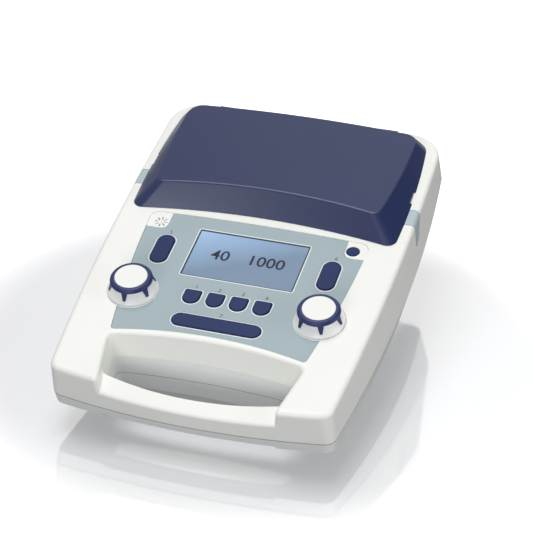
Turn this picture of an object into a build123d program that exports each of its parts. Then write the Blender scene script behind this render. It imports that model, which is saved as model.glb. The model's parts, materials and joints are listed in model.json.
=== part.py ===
from build123d import *
import os
from math import atan2, cos, degrees, hypot, radians, sin

# Portable screening audiometer. Lengths are millimetres, angles are degrees.
# Every piece is drawn in the deck frame: X to the user's right, Y back along the deck, Z out of the deck,
# with zero on the control panel's top face, on the middle line below the display.
# The last section tilts the deck and stands the whole part on its feet at Z = 0.

# Stance
DECK_TILT = 16.5
DECK_HEIGHT = 87.6

# Shared clearances and walls
OVERRUN = 6.0
SEAT_GAP = 0.1
RUNNING_FIT = 0.05
WALL = 2.6

# Widths, from the display outwards: display, oval keys, panel, rails
DISPLAY_HALF = 47.3
DISPLAY_SIDE_SPACE = 16.3
OVAL_WIDTH = 14.6
OVAL_X = DISPLAY_HALF + DISPLAY_SIDE_SPACE + OVAL_WIDTH / 2
PANEL_SIDE_MARGIN = 11.3
PANEL_MIDDLE_HALF = OVAL_X + OVAL_WIDTH / 2 + PANEL_SIDE_MARGIN
RAIL_WIDTH = 33.3
HALF_WIDTH = PANEL_MIDDLE_HALF + RAIL_WIDTH

# Housing: outline of the rail tops
RAIL_TOP = 1.0
TOP_FRONT_Y = -100.4
TOP_BOW = 9.6
TOP_REAR_Y = 243.5
TOP_FRONT_DRAW = 9.8
TOP_REAR_DRAW = 0.8
TOP_FRONT_HALF = HALF_WIDTH - TOP_FRONT_DRAW
TOP_REAR_HALF = HALF_WIDTH - TOP_REAR_DRAW
TOP_FRONT_RADIUS = 11.0
TOP_REAR_RADIUS = 30.0
SHOULDER_RADIUS = 4.4

# Housing: outline at the parting plane between the two shells
PARTING_FRONT_Y = -101.7
PARTING_FRONT_Z = -28.0
PARTING_REAR_Y = 286.5
PARTING_REAR_Z = -72.4
PARTING_BOW = 10.6
PARTING_FLARE = 1.8
PARTING_FRONT_DRAW = 8.3
PARTING_REAR_DRAW = 11.8
PARTING_FRONT_HALF = HALF_WIDTH - PARTING_FRONT_DRAW
PARTING_MIDDLE_HALF = HALF_WIDTH + PARTING_FLARE
PARTING_REAR_HALF = HALF_WIDTH - PARTING_REAR_DRAW
PARTING_FRONT_RADIUS = 10.0
PARTING_REAR_RADIUS = 18.0
PARTING_GROOVE_DEPTH = 0.6
PARTING_GROOVE_HEIGHT = 0.6

# Housing: outline of the tray's underside
TRAY_FRONT_Y = -100.3
TRAY_FRONT_Z = -38.5
TRAY_REAR_Y = 276.0
TRAY_REAR_Z = -105.0
TRAY_BOW = 10.0
TRAY_FRONT_DRAW = 9.0
TRAY_MIDDLE_DRAW = 3.8
TRAY_REAR_DRAW = 22.3
TRAY_FRONT_HALF = HALF_WIDTH - TRAY_FRONT_DRAW
TRAY_MIDDLE_HALF = HALF_WIDTH - TRAY_MIDDLE_DRAW
TRAY_REAR_HALF = HALF_WIDTH - TRAY_REAR_DRAW
TRAY_FRONT_RADIUS = 10.0
TRAY_REAR_RADIUS = 14.0

# Belly: the tapered pod under the tray, measured from the table
BELLY_FOOT_Z = 4.0
BELLY_FOOT_FRONT_Y = -22.0
BELLY_FOOT_REAR_Y = 274.0
BELLY_FOOT_DRAW = 54.8
BELLY_FOOT_HALF = HALF_WIDTH - BELLY_FOOT_DRAW
BELLY_FOOT_RADIUS = 14.0
BELLY_TOP_Z = 75.0
BELLY_TOP_FRONT_Y = -50.0
BELLY_TOP_REAR_Y = 298.0
BELLY_TOP_DRAW = 31.8
BELLY_TOP_HALF = HALF_WIDTH - BELLY_TOP_DRAW
BELLY_TOP_RADIUS = 22.0
BELLY_LAP = 1.0

# Grab opening behind the front bar
OPENING_RIM_REAR_Y = -46.0
OPENING_RIM_REAR_BULGE = 9.4
OPENING_RIM_DRAW = 42.0
OPENING_RIM_REAR_HALF = HALF_WIDTH - OPENING_RIM_DRAW
OPENING_TAPER = 7.0
OPENING_RIM_FRONT_Y = -82.5
OPENING_RIM_FRONT_BULGE = 9.5
OPENING_FOOT_Z = -47.0
OPENING_FOOT_REAR_Y = -57.0
OPENING_FOOT_REAR_BULGE = 3.2
OPENING_FOOT_DRAW = 49.8
OPENING_FOOT_REAR_HALF = HALF_WIDTH - OPENING_FOOT_DRAW
OPENING_FOOT_FRONT_Y = -75.5
OPENING_FOOT_FRONT_BULGE = 6.0
OPENING_CORNER_RADIUS = 6.0
COLLAR_SPLIT_Z = -20.0

# Front grab bar: its top face and the step down to it from the rails
BAR_FRONT_Y = -100.2
BAR_FRONT_Z = -14.5
BAR_REAR_Y = -80.0
BAR_REAR_Z = -7.0
STEP_REAR_Y = -62.0
STEP_FRONT_Y = -118.0
STEP_FOOT_Z = -24.0
RAIL_EDGE_RADIUS = 3.0
BAR_RELIEF_DRAW = 3.0
BAR_RELIEF_HALF = OPENING_FOOT_REAR_HALF - BAR_RELIEF_DRAW
BAR_RELIEF_DEPTH = 2.0
BAR_RELIEF_LENGTH = 12.0

# Control panel
PANEL_THICKNESS = 2.2
PANEL_TOP_Y = 97.6
PANEL_TOP_BULGE = 2.6
PANEL_TOP_FLARE = 4.7
PANEL_FOOT_DRAW = 9.9
PANEL_TOP_HALF = PANEL_MIDDLE_HALF + PANEL_TOP_FLARE
PANEL_FOOT_Y = -42.0
PANEL_FOOT_BULGE = 9.8
PANEL_FOOT_HALF = PANEL_MIDDLE_HALF - PANEL_FOOT_DRAW
PANEL_CORNER_RADIUS = 8.0
PANEL_FOOT_RADIUS = 3.0
PANEL_GAP = 0.25
PANEL_LEDGE = 5.0
LEDGE_THICKNESS = 2.2
LEDGE_MARGIN = 3.0
INSERT_WIDTH = 18.5
INSERT_LENGTH = 18.6
INSERT_INNER_X = PANEL_TOP_HALF - INSERT_WIDTH
INSERT_INNER_Y = PANEL_TOP_Y - INSERT_LENGTH
INSERT_RADIUS = 6.0
INSERT_PROUD = 0.5

# Display
DISPLAY_LOW_Y = 31.1
DISPLAY_HIGH_Y = 85.5
WINDOW_THICKNESS = 1.1
WINDOW_SUNK = 0.15
WINDOW_LEDGE = 1.8
WINDOW_GAP = 0.15
WINDOW_RADIUS = 1.0
GASKET_THICKNESS = 0.8
GASKET_WIDTH = 2.4
MODULE_MARGIN_X = 5.4
MODULE_MARGIN_Y = 6.2
MODULE_THICKNESS = 3.2
SPACER_RADIUS = 2.5
SPACER_INSET = 5.0

# Keys
KEY_PROUD = 1.3
KEY_GAP = 0.4
KEY_TRAVEL = 1.0
KEY_FLANGE = 1.5
KEY_FLANGE_THICKNESS = 1.4
KEY_FLANGE_SEAT = 0.15
KEY_EDGE = 0.5
PLUNGER_RADIUS = 2.2
FUNCTION_COUNT = 4
FUNCTION_PITCH = 19.57
FUNCTION_Y = 8.0
FUNCTION_WIDTH = 13.8
FUNCTION_ABOVE = 7.1
FUNCTION_BELOW = 7.9
FUNCTION_CORNER = 1.6
OVAL_Y = 55.5
OVAL_LENGTH = 33.4
TONE_Y = -18.6
TONE_WIDTH = 13.6
TONE_LENGTH = 73.5
POWER_INSET_X = 11.8
POWER_INSET_Y = 10.4
POWER_X = PANEL_TOP_HALF - POWER_INSET_X
POWER_Y = PANEL_TOP_Y - POWER_INSET_Y
POWER_RADIUS = 5.3

# Talk microphone behind the left corner insert
MICROPHONE_INSET_X = 11.3
MICROPHONE_INSET_Y = 11.1
MICROPHONE_X = MICROPHONE_INSET_X - PANEL_TOP_HALF
MICROPHONE_Y = PANEL_TOP_Y - MICROPHONE_INSET_Y
MICROPHONE_CASE_RADIUS = 5.8
MICROPHONE_DEPTH = 4.5
GRILLE_SLOTS = 8
GRILLE_SLOT_START = 2.8
GRILLE_SLOT_END = 5.4
GRILLE_SLOT_WIDTH = 1.0
GRILLE_CENTRE_RADIUS = 0.6

# Knobs and the encoders that they turn
KNOB_INSET = 11.6
KNOB_X = PANEL_MIDDLE_HALF - KNOB_INSET
KNOB_Y = 4.4
KNOB_BASE_RADIUS = 21.0
KNOB_BASE_EDGE = 0.6
KNOB_BASE_THICKNESS = 0.9
KNOB_FOOT_GAP = 0.3
KNOB_FOOT_Z = KNOB_BASE_THICKNESS + KNOB_FOOT_GAP
KNOB_FOOT_RADIUS = 20.4
KNOB_FOOT_EDGE = 1.0
KNOB_FLARE_RADIUS = 18.5
KNOB_FLARE_Z = 5.6
KNOB_WAIST_RADIUS = 16.4
KNOB_WAIST_Z = 11.6
KNOB_CORE_RADIUS = 15.2
KNOB_CORE_TOP_Z = 12.6
KNOB_WALL = 2.2
KNOB_HUB_RADIUS = 6.2
KNOB_HUB_FOOT_Z = 3.6
GRIP_RADIUS = 17.3
GRIP_BELLY_Z = 12.7
GRIP_SHOULDER_RADIUS = 16.6
GRIP_SHOULDER_Z = 14.0
GRIP_TOP_RADIUS = 14.6
GRIP_TOP_Z = 15.0
GRIP_TABS = 6
TAB_THICKNESS = 0.7
TAB_FOOT_Z = 5.2
TAB_FOOT_HALF = 1.1
TAB_ROOT_HALF = 2.8
CAP_RADIUS = 13.3
CAP_TOP_Z = 15.3
CAP_EDGE = 0.6
KNOB_TURNS = {"left": 0.0, "right": 20.0}
ENCODER_WIDTH = 13.0
ENCODER_TOP_Z = -5.4
BUSHING_RADIUS = 3.5
BUSHING_TOP_Z = 3.0
BUSHING_GAP = 0.4
SHAFT_RADIUS = 3.0
SHAFT_TOP_Z = 10.8
NUT_SIDES = 6
NUT_WIDTH = 10.0
NUT_THICKNESS = 1.6

# Main board and what stands on it
BOARD_TOP_Z = -12.0
BOARD_THICKNESS = 1.6
BOARD_SCREW_OUT = 2.5
BOARD_EDGE = 4.0
BOARD_FRONT_Y = -26.0
BOARD_REAR_Y = 98.0
BOARD_SCREW_INSET = 6.0
BOARD_SCREW_X = PANEL_MIDDLE_HALF + BOARD_SCREW_OUT
BOARD_HALF = BOARD_SCREW_X + BOARD_EDGE
BOARD_SCREW_FRONT_Y = BOARD_FRONT_Y + BOARD_SCREW_INSET
BOARD_SCREW_REAR_Y = BOARD_REAR_Y - BOARD_SCREW_INSET
BOARD_BOSS_RADIUS = 3.2
MAT_THICKNESS = 0.8
MAT_MARGIN = 3.0
DOME_RADIUS = 3.0
DOME_TIP_RADIUS = 1.8
DOME_HEIGHT = 1.6
CHIP_WIDTH = 16.0
CHIP_HEIGHT = 1.8
CHIP_Y = 10.0
CHIP_X = 30.0
BOARD_SOCKET_LENGTH = 16.0
BOARD_SOCKET_WIDTH = 5.0
BOARD_SOCKET_HEIGHT = 4.0
SCREW_RADIUS = 1.5
SCREW_HEAD_RADIUS = 2.9
SCREW_HEAD_HEIGHT = 1.8
SCREW_BITE = 6.0

# Storage bin under the lid
BIN_DRAW = 24.8
BIN_HALF = HALF_WIDTH - BIN_DRAW
BIN_FRONT_Y = 116.0
BIN_REAR_Y = 222.0
BIN_RADIUS = 12.0
BIN_DRAFT = 3.0
BIN_FLOOR_Z = -62.0
BIN_WALL = 1.8
BIN_FLANGE = 4.0
BIN_GAP = 0.3
BIN_FLOOR_RADIUS = 5.0

# Lid
LID_GAP = 0.3
LID_FRONT_Y = 108.4
LID_FRONT_BULGE = -10.5
LID_REAR_Y = 233.5
LID_REAR_BULGE = 4.6
LID_FRONT_DRAW = 9.2
LID_MIDDLE_DRAW = 8.0
LID_REAR_DRAW = 13.4
LID_FRONT_HALF = HALF_WIDTH - LID_FRONT_DRAW
LID_MIDDLE_HALF = HALF_WIDTH - LID_MIDDLE_DRAW
LID_REAR_HALF = HALF_WIDTH - LID_REAR_DRAW
LID_FRONT_RADIUS = 8.0
LID_REAR_RADIUS = 16.0
LID_CREST_Z = 26.0
LID_CREST_FRONT_Y = 127.2
LID_CREST_FRONT_BULGE = -5.4
LID_CREST_REAR_Y = 224.5
LID_CREST_REAR_BULGE = 4.4
LID_CREST_FRONT_DRAW = 33.6
LID_CREST_MIDDLE_DRAW = 31.9
LID_CREST_REAR_DRAW = 31.4
LID_CREST_FRONT_HALF = HALF_WIDTH - LID_CREST_FRONT_DRAW
LID_CREST_MIDDLE_HALF = HALF_WIDTH - LID_CREST_MIDDLE_DRAW
LID_CREST_REAR_HALF = HALF_WIDTH - LID_CREST_REAR_DRAW
LID_CREST_FRONT_RADIUS = 6.0
LID_CREST_REAR_RADIUS = 12.0
LID_ROOF_FRONT_Z = 19.0
LID_ROOF_FRONT_CROWN = 4.5
LID_ROOF_REAR_Z = 10.6
LID_ROOF_REAR_CROWN = 0.4
LID_WALL = 2.4
LID_EDGE_RADIUS = 2.6
LID_NOTCH_FRONT_Y = 153.0
LID_NOTCH_REAR_Y = 168.0
LID_NOTCH_HEIGHT = 1.6
CATCH_DRAW = 16.6
CATCH_X = HALF_WIDTH - CATCH_DRAW
CATCH_THICKNESS = 2.2
CATCH_WIDTH = 14.0
CATCH_DEPTH = 10.5
CATCH_SLOT_GAP = 1.4
CATCH_WINDOW_GAP = 0.8
CATCH_WINDOW_RISE = 2.0
CATCH_ROOT = 7.0

# Lid hinge
HINGE_X = 72.0
HINGE_Y = 241.6
HINGE_Z = -2.5
HINGE_RADIUS = 3.4
HINGE_PIN_RADIUS = 1.5
KNUCKLE_WIDTH = 18.0
EAR_WIDTH = 5.0
EAR_GAP = 0.4
EAR_DEPTH = 7.0
HINGE_ARM_THICKNESS = 1.9

# Lid latches, one on each side
LATCH_Y = 137.0
LATCH_WIDTH = 20.0
LATCH_TIP_WIDTH = 11.0
LATCH_TIP_Y = 139.4
LATCH_TIP_Z = -22.5
LATCH_DEPTH = 9.4
LATCH_INNER_X = HALF_WIDTH - LATCH_DEPTH
LATCH_THICKNESS = 3.0
LATCH_GAP = 0.5
LATCH_FOOT_GAP = 1.0
LATCH_AXIS_DRAW = 6.4
LATCH_AXIS_X = HALF_WIDTH - LATCH_AXIS_DRAW
LATCH_AXIS_Z = -16.0
LATCH_TURN = 9.0
LATCH_LUG_RADIUS = 3.4
LATCH_LUG_WIDTH = 7.0
LATCH_PIN_RADIUS = 1.5
LATCH_EAR_WIDTH = 3.0
LATCH_EAR_RADIUS = 3.6
LATCH_NOSE_WIDTH = 8.0
LATCH_NOSE_THICKNESS = 2.0
LATCH_NOSE_TOP_Z = -4.6
LATCH_BITE = 1.2
SCOOP_RADIUS = 26.0
SCOOP_DEPTH = 1.4
SCOOP_Z = -15.0

# Rear connectors
CONNECTOR_WIDTH = 120.0
CONNECTOR_HEIGHT = 20.0
CONNECTOR_THICKNESS = 1.4
CONNECTOR_LEDGE = 3.0
CONNECTOR_RADIUS = 3.0
CONNECTOR_END_MARGIN = 16.0
JACK_COUNT = 4
JACK_BUSHING_RADIUS = 3.0
JACK_BUSHING_PROUD = 1.6
JACK_BORE_RADIUS = 1.75
JACK_BORE_DEPTH = 12.0
JACK_BODY_WIDTH = 9.0
JACK_BODY_DEPTH = 13.0
INLET_WIDTH = 10.0
INLET_DEPTH = 13.0
INLET_BORE_RADIUS = 2.75
INLET_PIN_RADIUS = 1.0
INLET_BORE_DEPTH = 9.0
SOCKET_WIDTH = 9.6
SOCKET_HEIGHT = 5.2
SOCKET_DEPTH = 9.0
SOCKET_SLOT_WIDTH = 7.4
SOCKET_SLOT_HEIGHT = 3.0
SOCKET_SLOT_DEPTH = 7.0
CONNECTOR_BOARD_MARGIN_X = 4.0
CONNECTOR_BOARD_HEIGHT = 22.0
RIBBON_X = -30.0
RIBBON_WIDTH = 14.0
RIBBON_THICKNESS = 0.9
RIBBON_BEND_RADIUS = 2.5
RIBBON_DROP = 10.0
RIBBON_STEP = 5.0
RIBBON_UNDER_GAP = 5.0
RIBBON_LEAD = 10.0

# Case screws and feet
CASE_SCREW_PLACES = {"front": (23.8, -72.0), "middle": (16.8, 96.0), "rear": (30.8, 238.0)}
CASE_BOSS_RADIUS = 4.4
CASE_BOSS_GAP = 0.1
CASE_HEAD_BELOW = 4.0
CASE_COUNTERBORE_GAP = 0.3
FOOT_RADIUS = 9.0
FOOT_SUNK = 1.4
FOOT_X = 52.0
FOOT_FRONT_Y = 0.0
FOOT_REAR_Y = 252.0

DECK_TO_TABLE = Location((0, 0, DECK_HEIGHT), (DECK_TILT, 0, 0))

# Key plungers end just above their domes by the keys' travel
PLUNGER_FOOT_Z = BOARD_TOP_Z + MAT_THICKNESS + DOME_HEIGHT + KEY_TRAVEL + SEAT_GAP

# Small shape helpers


def plate(outline, low, high):
    """Solid between two heights under an outline drawn on the deck plane."""
    return extrude(Pos(0, 0, low) * outline, amount=high - low, dir=(0, 0, 1))


def rod(x, y, low, high, radius):
    """Upright cylinder between two heights."""
    return Pos(x, y, low) * Cylinder(radius, high - low, align=(Align.CENTER, Align.CENTER, Align.MIN))


def block(low_corner, high_corner):
    """Box between two corners."""
    size = [high - low for low, high in zip(low_corner, high_corner)]
    return Pos(*low_corner) * Box(*size, align=(Align.MIN, Align.MIN, Align.MIN))


def both_sides(solid):
    """The solid and its mirror image across the middle plane."""
    return [solid, mirror(solid, about=Plane.YZ)]


def sloped_plane(front_y, front_z, rear_y, rear_z):
    """Plane across the part through a front line and a rear line, facing up."""
    normal = (0, front_z - rear_z, rear_y - front_y)
    return Plane(origin=(0, front_y, front_z), x_dir=(1, 0, 0), z_dir=normal)


def plan_outline(
    front, bulge, rear, front_half, middle_half, rear_half, front_radius, rear_radius, rear_bulge=0
):
    """Rounded plan with a bowed front edge, swelling sides and a straight or bowed rear edge."""
    corner_y = front + bulge
    middle = (corner_y + rear) / 2
    edges = [
        ThreePointArc((-front_half, corner_y), (0, front), (front_half, corner_y)),
        ThreePointArc((front_half, corner_y), (middle_half, middle), (rear_half, rear)),
        ThreePointArc((-rear_half, rear), (-middle_half, middle), (-front_half, corner_y)),
    ]
    if rear_bulge:
        edges.append(ThreePointArc((rear_half, rear), (0, rear + rear_bulge), (-rear_half, rear)))
    else:
        edges.append(Line((rear_half, rear), (-rear_half, rear)))
    outline = make_face(edges)
    corners = outline.vertices().sort_by(Axis.Y)
    outline = fillet(corners[:2], front_radius)
    corners = outline.vertices().sort_by(Axis.Y)
    return fillet(corners[-2:], rear_radius)


# Housing blocks: solid shapes that the shells are cut from


PARTING_PLANE = sloped_plane(PARTING_FRONT_Y, PARTING_FRONT_Z, PARTING_REAR_Y, PARTING_REAR_Z)
TRAY_PLANE = sloped_plane(TRAY_FRONT_Y, TRAY_FRONT_Z, TRAY_REAR_Y, TRAY_REAR_Z)
BAR_PLANE = sloped_plane(BAR_FRONT_Y, BAR_FRONT_Z, BAR_REAR_Y, BAR_REAR_Z)


def parting_z(y):
    """Height of the parting plane at a place along the deck."""
    share = (y - PARTING_FRONT_Y) / (PARTING_REAR_Y - PARTING_FRONT_Y)
    return PARTING_FRONT_Z + share * (PARTING_REAR_Z - PARTING_FRONT_Z)


def tray_z(y):
    """Height of the tray's underside at a place along the deck."""
    share = (y - TRAY_FRONT_Y) / (TRAY_REAR_Y - TRAY_FRONT_Y)
    return TRAY_FRONT_Z + share * (TRAY_REAR_Z - TRAY_FRONT_Z)


def parting_outline(inset):
    length = hypot(PARTING_REAR_Y - PARTING_FRONT_Y, PARTING_REAR_Z - PARTING_FRONT_Z)
    return PARTING_PLANE * plan_outline(
        inset, PARTING_BOW, length - inset,
        PARTING_FRONT_HALF - inset, PARTING_MIDDLE_HALF - inset, PARTING_REAR_HALF - inset,
        PARTING_FRONT_RADIUS - inset, PARTING_REAR_RADIUS - inset,
    )


def upper_block(inset):
    """Housing above the parting plane, moved in by an inset on every side but the parting face."""
    top = Pos(0, 0, RAIL_TOP - inset) * plan_outline(
        TOP_FRONT_Y + inset, TOP_BOW, TOP_REAR_Y - inset,
        TOP_FRONT_HALF - inset, HALF_WIDTH - inset, TOP_REAR_HALF - inset,
        TOP_FRONT_RADIUS - inset, TOP_REAR_RADIUS - inset,
    )
    solid = loft([parting_outline(inset), top], ruled=True)
    rim = solid.faces().sort_by(Axis.Z)[-1].edges()
    return fillet(rim, SHOULDER_RADIUS - inset)


def lower_block(inset):
    """Tray between the parting plane and its underside."""
    length = hypot(TRAY_REAR_Y - TRAY_FRONT_Y, TRAY_REAR_Z - TRAY_FRONT_Z)
    floor = TRAY_PLANE * Pos(0, 0, inset) * plan_outline(
        inset, TRAY_BOW, length - inset,
        TRAY_FRONT_HALF - inset, TRAY_MIDDLE_HALF - inset, TRAY_REAR_HALF - inset,
        TRAY_FRONT_RADIUS - inset, TRAY_REAR_RADIUS - inset,
    )
    return loft([floor, parting_outline(inset)], ruled=True)


def belly_block(inset):
    """Tapered pod below the tray, up to a small lap inside it."""
    def section(front, rear, half, radius, z):
        return Pos(0, (front + rear) / 2, z) * RectangleRounded(2 * half, rear - front, radius)

    foot = section(
        BELLY_FOOT_FRONT_Y + inset, BELLY_FOOT_REAR_Y - inset,
        BELLY_FOOT_HALF - inset, BELLY_FOOT_RADIUS - inset, BELLY_FOOT_Z + inset,
    )
    top = section(
        BELLY_TOP_FRONT_Y + inset, BELLY_TOP_REAR_Y - inset,
        BELLY_TOP_HALF - inset, BELLY_TOP_RADIUS - inset, BELLY_TOP_Z,
    )
    pod = DECK_TO_TABLE.inverse() * loft([foot, top], ruled=True)
    return split(pod, bisect_by=TRAY_PLANE.offset(BELLY_LAP + inset), keep=Keep.BOTTOM)


def lens_outline(rear, rear_bulge, front, front_bulge, z, grow):
    """Plan of the grab opening at one height: both long sides bulge outwards."""
    rear_half = opening_half(rear, z) + grow
    front_half = opening_half(front, z) + grow
    rear_y = rear + grow
    front_y = front - grow
    edges = [
        ThreePointArc((-rear_half, rear_y), (0, rear_y + rear_bulge), (rear_half, rear_y)),
        Line((rear_half, rear_y), (front_half, front_y)),
        ThreePointArc((front_half, front_y), (0, front_y - front_bulge), (-front_half, front_y)),
        Line((-front_half, front_y), (-rear_half, rear_y)),
    ]
    outline = make_face(edges)
    return fillet(outline.vertices(), OPENING_CORNER_RADIUS + grow)


def opening_half(y, z):
    """Half width of the opening, and of the step in front of it, at a place on its flat drafted side."""
    angle_share = OPENING_TAPER / (OPENING_RIM_REAR_Y - OPENING_RIM_FRONT_Y)
    rim_half = OPENING_RIM_REAR_HALF - angle_share * (OPENING_RIM_REAR_Y - y)
    foot_half = OPENING_FOOT_REAR_HALF - angle_share * (OPENING_FOOT_REAR_Y - y)
    depth_share = (RAIL_TOP - z) / (RAIL_TOP - OPENING_FOOT_Z)
    return rim_half + depth_share * (foot_half - rim_half)


def opening_block(grow):
    """The space of the grab opening, grown on every side for the collar round it."""
    rim = lens_outline(
        OPENING_RIM_REAR_Y, OPENING_RIM_REAR_BULGE,
        OPENING_RIM_FRONT_Y, OPENING_RIM_FRONT_BULGE, RAIL_TOP, grow,
    )
    foot = lens_outline(
        OPENING_FOOT_REAR_Y, OPENING_FOOT_REAR_BULGE,
        OPENING_FOOT_FRONT_Y, OPENING_FOOT_FRONT_BULGE, OPENING_FOOT_Z, grow,
    )
    well = loft([Pos(0, 0, OPENING_FOOT_Z) * foot, Pos(0, 0, RAIL_TOP) * rim], ruled=True)
    return well + plate(rim, RAIL_TOP, RAIL_TOP + OVERRUN)


def step_block(grow):
    """The space above the grab bar, between the same drafted sides as the opening."""
    def outline(z):
        rear_half = opening_half(STEP_REAR_Y, z) + grow
        front_half = opening_half(STEP_FRONT_Y, z) + grow
        corners = [
            (rear_half, STEP_REAR_Y),
            (front_half, STEP_FRONT_Y),
            (-front_half, STEP_FRONT_Y),
            (-rear_half, STEP_REAR_Y),
        ]
        return Pos(0, 0, z) * make_face(Polyline(*corners, close=True))

    space = loft([outline(STEP_FOOT_Z), outline(RAIL_TOP)], ruled=True)
    space += plate(outline(0), RAIL_TOP, RAIL_TOP + OVERRUN)
    return split(space, bisect_by=BAR_PLANE.offset(-grow), keep=Keep.TOP)


def housing_top():
    """Upper housing, still solid, with the opening and the step cut in and their edges rounded."""
    top = upper_block(0) - opening_block(0) - step_block(0)
    rim = [edge for edge in top.edges() if on_opening_rim(edge)]
    fronts = [
        top.edges().sort_by_distance((side * opening_half(TOP_FRONT_Y, RAIL_TOP), TOP_FRONT_Y, RAIL_TOP))[0]
        for side in (-1, 1)
    ]
    bar_front = top.edges().sort_by_distance((0, BAR_FRONT_Y, BAR_FRONT_Z))[:1]
    return fillet(rim + fronts + bar_front, RAIL_EDGE_RADIUS)


def on_opening_rim(edge):
    """True for an edge of the rail tops that borders the opening or the step."""
    middle = edge.center()
    reach = opening_half(middle.Y, RAIL_TOP) + OPENING_CORNER_RADIUS / 2
    on_top = edge.bounding_box().min.Z > RAIL_TOP - SEAT_GAP
    return on_top and middle.Y < 0 and abs(middle.X) < reach


def panel_outline(grow):
    """Plan of the control panel, grown or shrunk on every side."""
    top_half = PANEL_TOP_HALF + grow
    foot_half = PANEL_FOOT_HALF + grow
    top = PANEL_TOP_Y + grow
    foot = PANEL_FOOT_Y - grow
    middle = (top + foot) / 2
    middle_half = PANEL_MIDDLE_HALF + grow
    edges = [
        ThreePointArc((-foot_half, foot), (0, foot + PANEL_FOOT_BULGE), (foot_half, foot)),
        ThreePointArc((foot_half, foot), (middle_half, middle), (top_half, top)),
        ThreePointArc((top_half, top), (0, top + PANEL_TOP_BULGE), (-top_half, top)),
        ThreePointArc((-top_half, top), (-middle_half, middle), (-foot_half, foot)),
    ]
    outline = make_face(edges)
    corners = outline.vertices().sort_by(Axis.Y)
    outline = fillet(corners[:2], PANEL_FOOT_RADIUS)
    corners = outline.vertices().sort_by(Axis.Y)
    return fillet(corners[-2:], PANEL_CORNER_RADIUS)


# Latch shapes, drawn for the right side


def latch_prism(gap, foot_gap, inner_x):
    """Tongue-shaped prism that cuts the latch, or its pocket, out of the side wall."""
    half = LATCH_WIDTH / 2 + gap
    tip = LATCH_TIP_WIDTH / 2 + gap
    crest = RAIL_TOP + OVERRUN
    outline = make_face(
        [
            Line((LATCH_Y - half, crest), (LATCH_TIP_Y - tip, LATCH_TIP_Z)),
            ThreePointArc(
                (LATCH_TIP_Y - tip, LATCH_TIP_Z),
                (LATCH_TIP_Y, LATCH_TIP_Z - tip - foot_gap),
                (LATCH_TIP_Y + tip, LATCH_TIP_Z),
            ),
            Line((LATCH_TIP_Y + tip, LATCH_TIP_Z), (LATCH_Y + half, crest)),
            Line((LATCH_Y + half, crest), (LATCH_Y - half, crest)),
        ]
    )
    return extrude(Plane.YZ.offset(inner_x) * outline, amount=PARTING_MIDDLE_HALF + OVERRUN - inner_x)


def latch_axle(y_low, y_high, radius):
    """Cylinder along the latch's axis."""
    axle = Cylinder(radius, y_high - y_low, align=(Align.CENTER, Align.CENTER, Align.MIN))
    return Pos(LATCH_AXIS_X, y_low, LATCH_AXIS_Z) * Rot(-90, 0, 0) * axle


def latch_ears():
    """Two ears inside the side wall that hold the latch pin."""
    ears = []
    for side in (-1, 1):
        near = LATCH_Y + side * (LATCH_WIDTH / 2 + LATCH_GAP + LATCH_EAR_WIDTH / 2)
        low = near - LATCH_EAR_WIDTH / 2
        high = near + LATCH_EAR_WIDTH / 2
        web = block(
            (LATCH_AXIS_X, low, LATCH_AXIS_Z - LATCH_EAR_RADIUS),
            (PARTING_MIDDLE_HALF, high, LATCH_AXIS_Z + LATCH_EAR_RADIUS),
        )
        ears.append(web + latch_axle(low, high, LATCH_EAR_RADIUS))
    return ears


def make_latch(skin):
    """Press latch: a tongue of the housing's own skin with a finger scoop, a pivot lug and a nose."""
    tongue = skin & latch_prism(0, 0, LATCH_INNER_X)
    scoop_x = PARTING_MIDDLE_HALF + SCOOP_RADIUS - SCOOP_DEPTH
    scoop = Pos(scoop_x, LATCH_TIP_Y, SCOOP_Z) * Sphere(SCOOP_RADIUS)
    lug_low = LATCH_Y - LATCH_LUG_WIDTH / 2
    lug_high = LATCH_Y + LATCH_LUG_WIDTH / 2
    web = block(
        (LATCH_AXIS_X, lug_low, LATCH_AXIS_Z - LATCH_LUG_RADIUS),
        (HALF_WIDTH - LATCH_THICKNESS / 2, lug_high, LATCH_AXIS_Z + LATCH_LUG_RADIUS),
    )
    nose_x = CATCH_X + CATCH_THICKNESS / 2 - LATCH_BITE
    nose = block(
        (nose_x, LATCH_Y - LATCH_NOSE_WIDTH / 2, LATCH_NOSE_TOP_Z - LATCH_NOSE_THICKNESS),
        (HALF_WIDTH - LATCH_THICKNESS / 2, LATCH_Y + LATCH_NOSE_WIDTH / 2, LATCH_NOSE_TOP_Z),
    )
    latch = tongue - scoop
    latch += web
    latch += latch_axle(lug_low, lug_high, LATCH_LUG_RADIUS)
    latch += nose
    return latch - latch_axle(lug_low - OVERRUN, lug_high + OVERRUN, LATCH_PIN_RADIUS + RUNNING_FIT)


def make_latch_pin():
    reach = LATCH_WIDTH / 2 + LATCH_GAP + LATCH_EAR_WIDTH
    return latch_axle(LATCH_Y - reach, LATCH_Y + reach, LATCH_PIN_RADIUS)


# Lid hinge shapes


def hinge_barrel(x_low, x_high, radius):
    """Cylinder along the lid's hinge axis."""
    barrel = Cylinder(radius, x_high - x_low, align=(Align.CENTER, Align.CENTER, Align.MIN))
    return Pos(x_low, HINGE_Y, HINGE_Z) * Rot(0, 90, 0) * barrel


def hinge_ears():
    """Ears on the shell's rear rim, one pair round each knuckle."""
    ears = []
    for side in (-1, 1):
        for end in (-1, 1):
            inner = KNUCKLE_WIDTH / 2 + EAR_GAP
            low = side * HINGE_X + min(end * inner, end * (inner + EAR_WIDTH))
            high = low + EAR_WIDTH
            ear = hinge_barrel(low, high, HINGE_RADIUS)
            ear += block(
                (low, HINGE_Y - HINGE_RADIUS, HINGE_Z - EAR_DEPTH),
                (high, HINGE_Y + HINGE_RADIUS, HINGE_Z),
            )
            ears.append(ear)
    return ears


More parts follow.
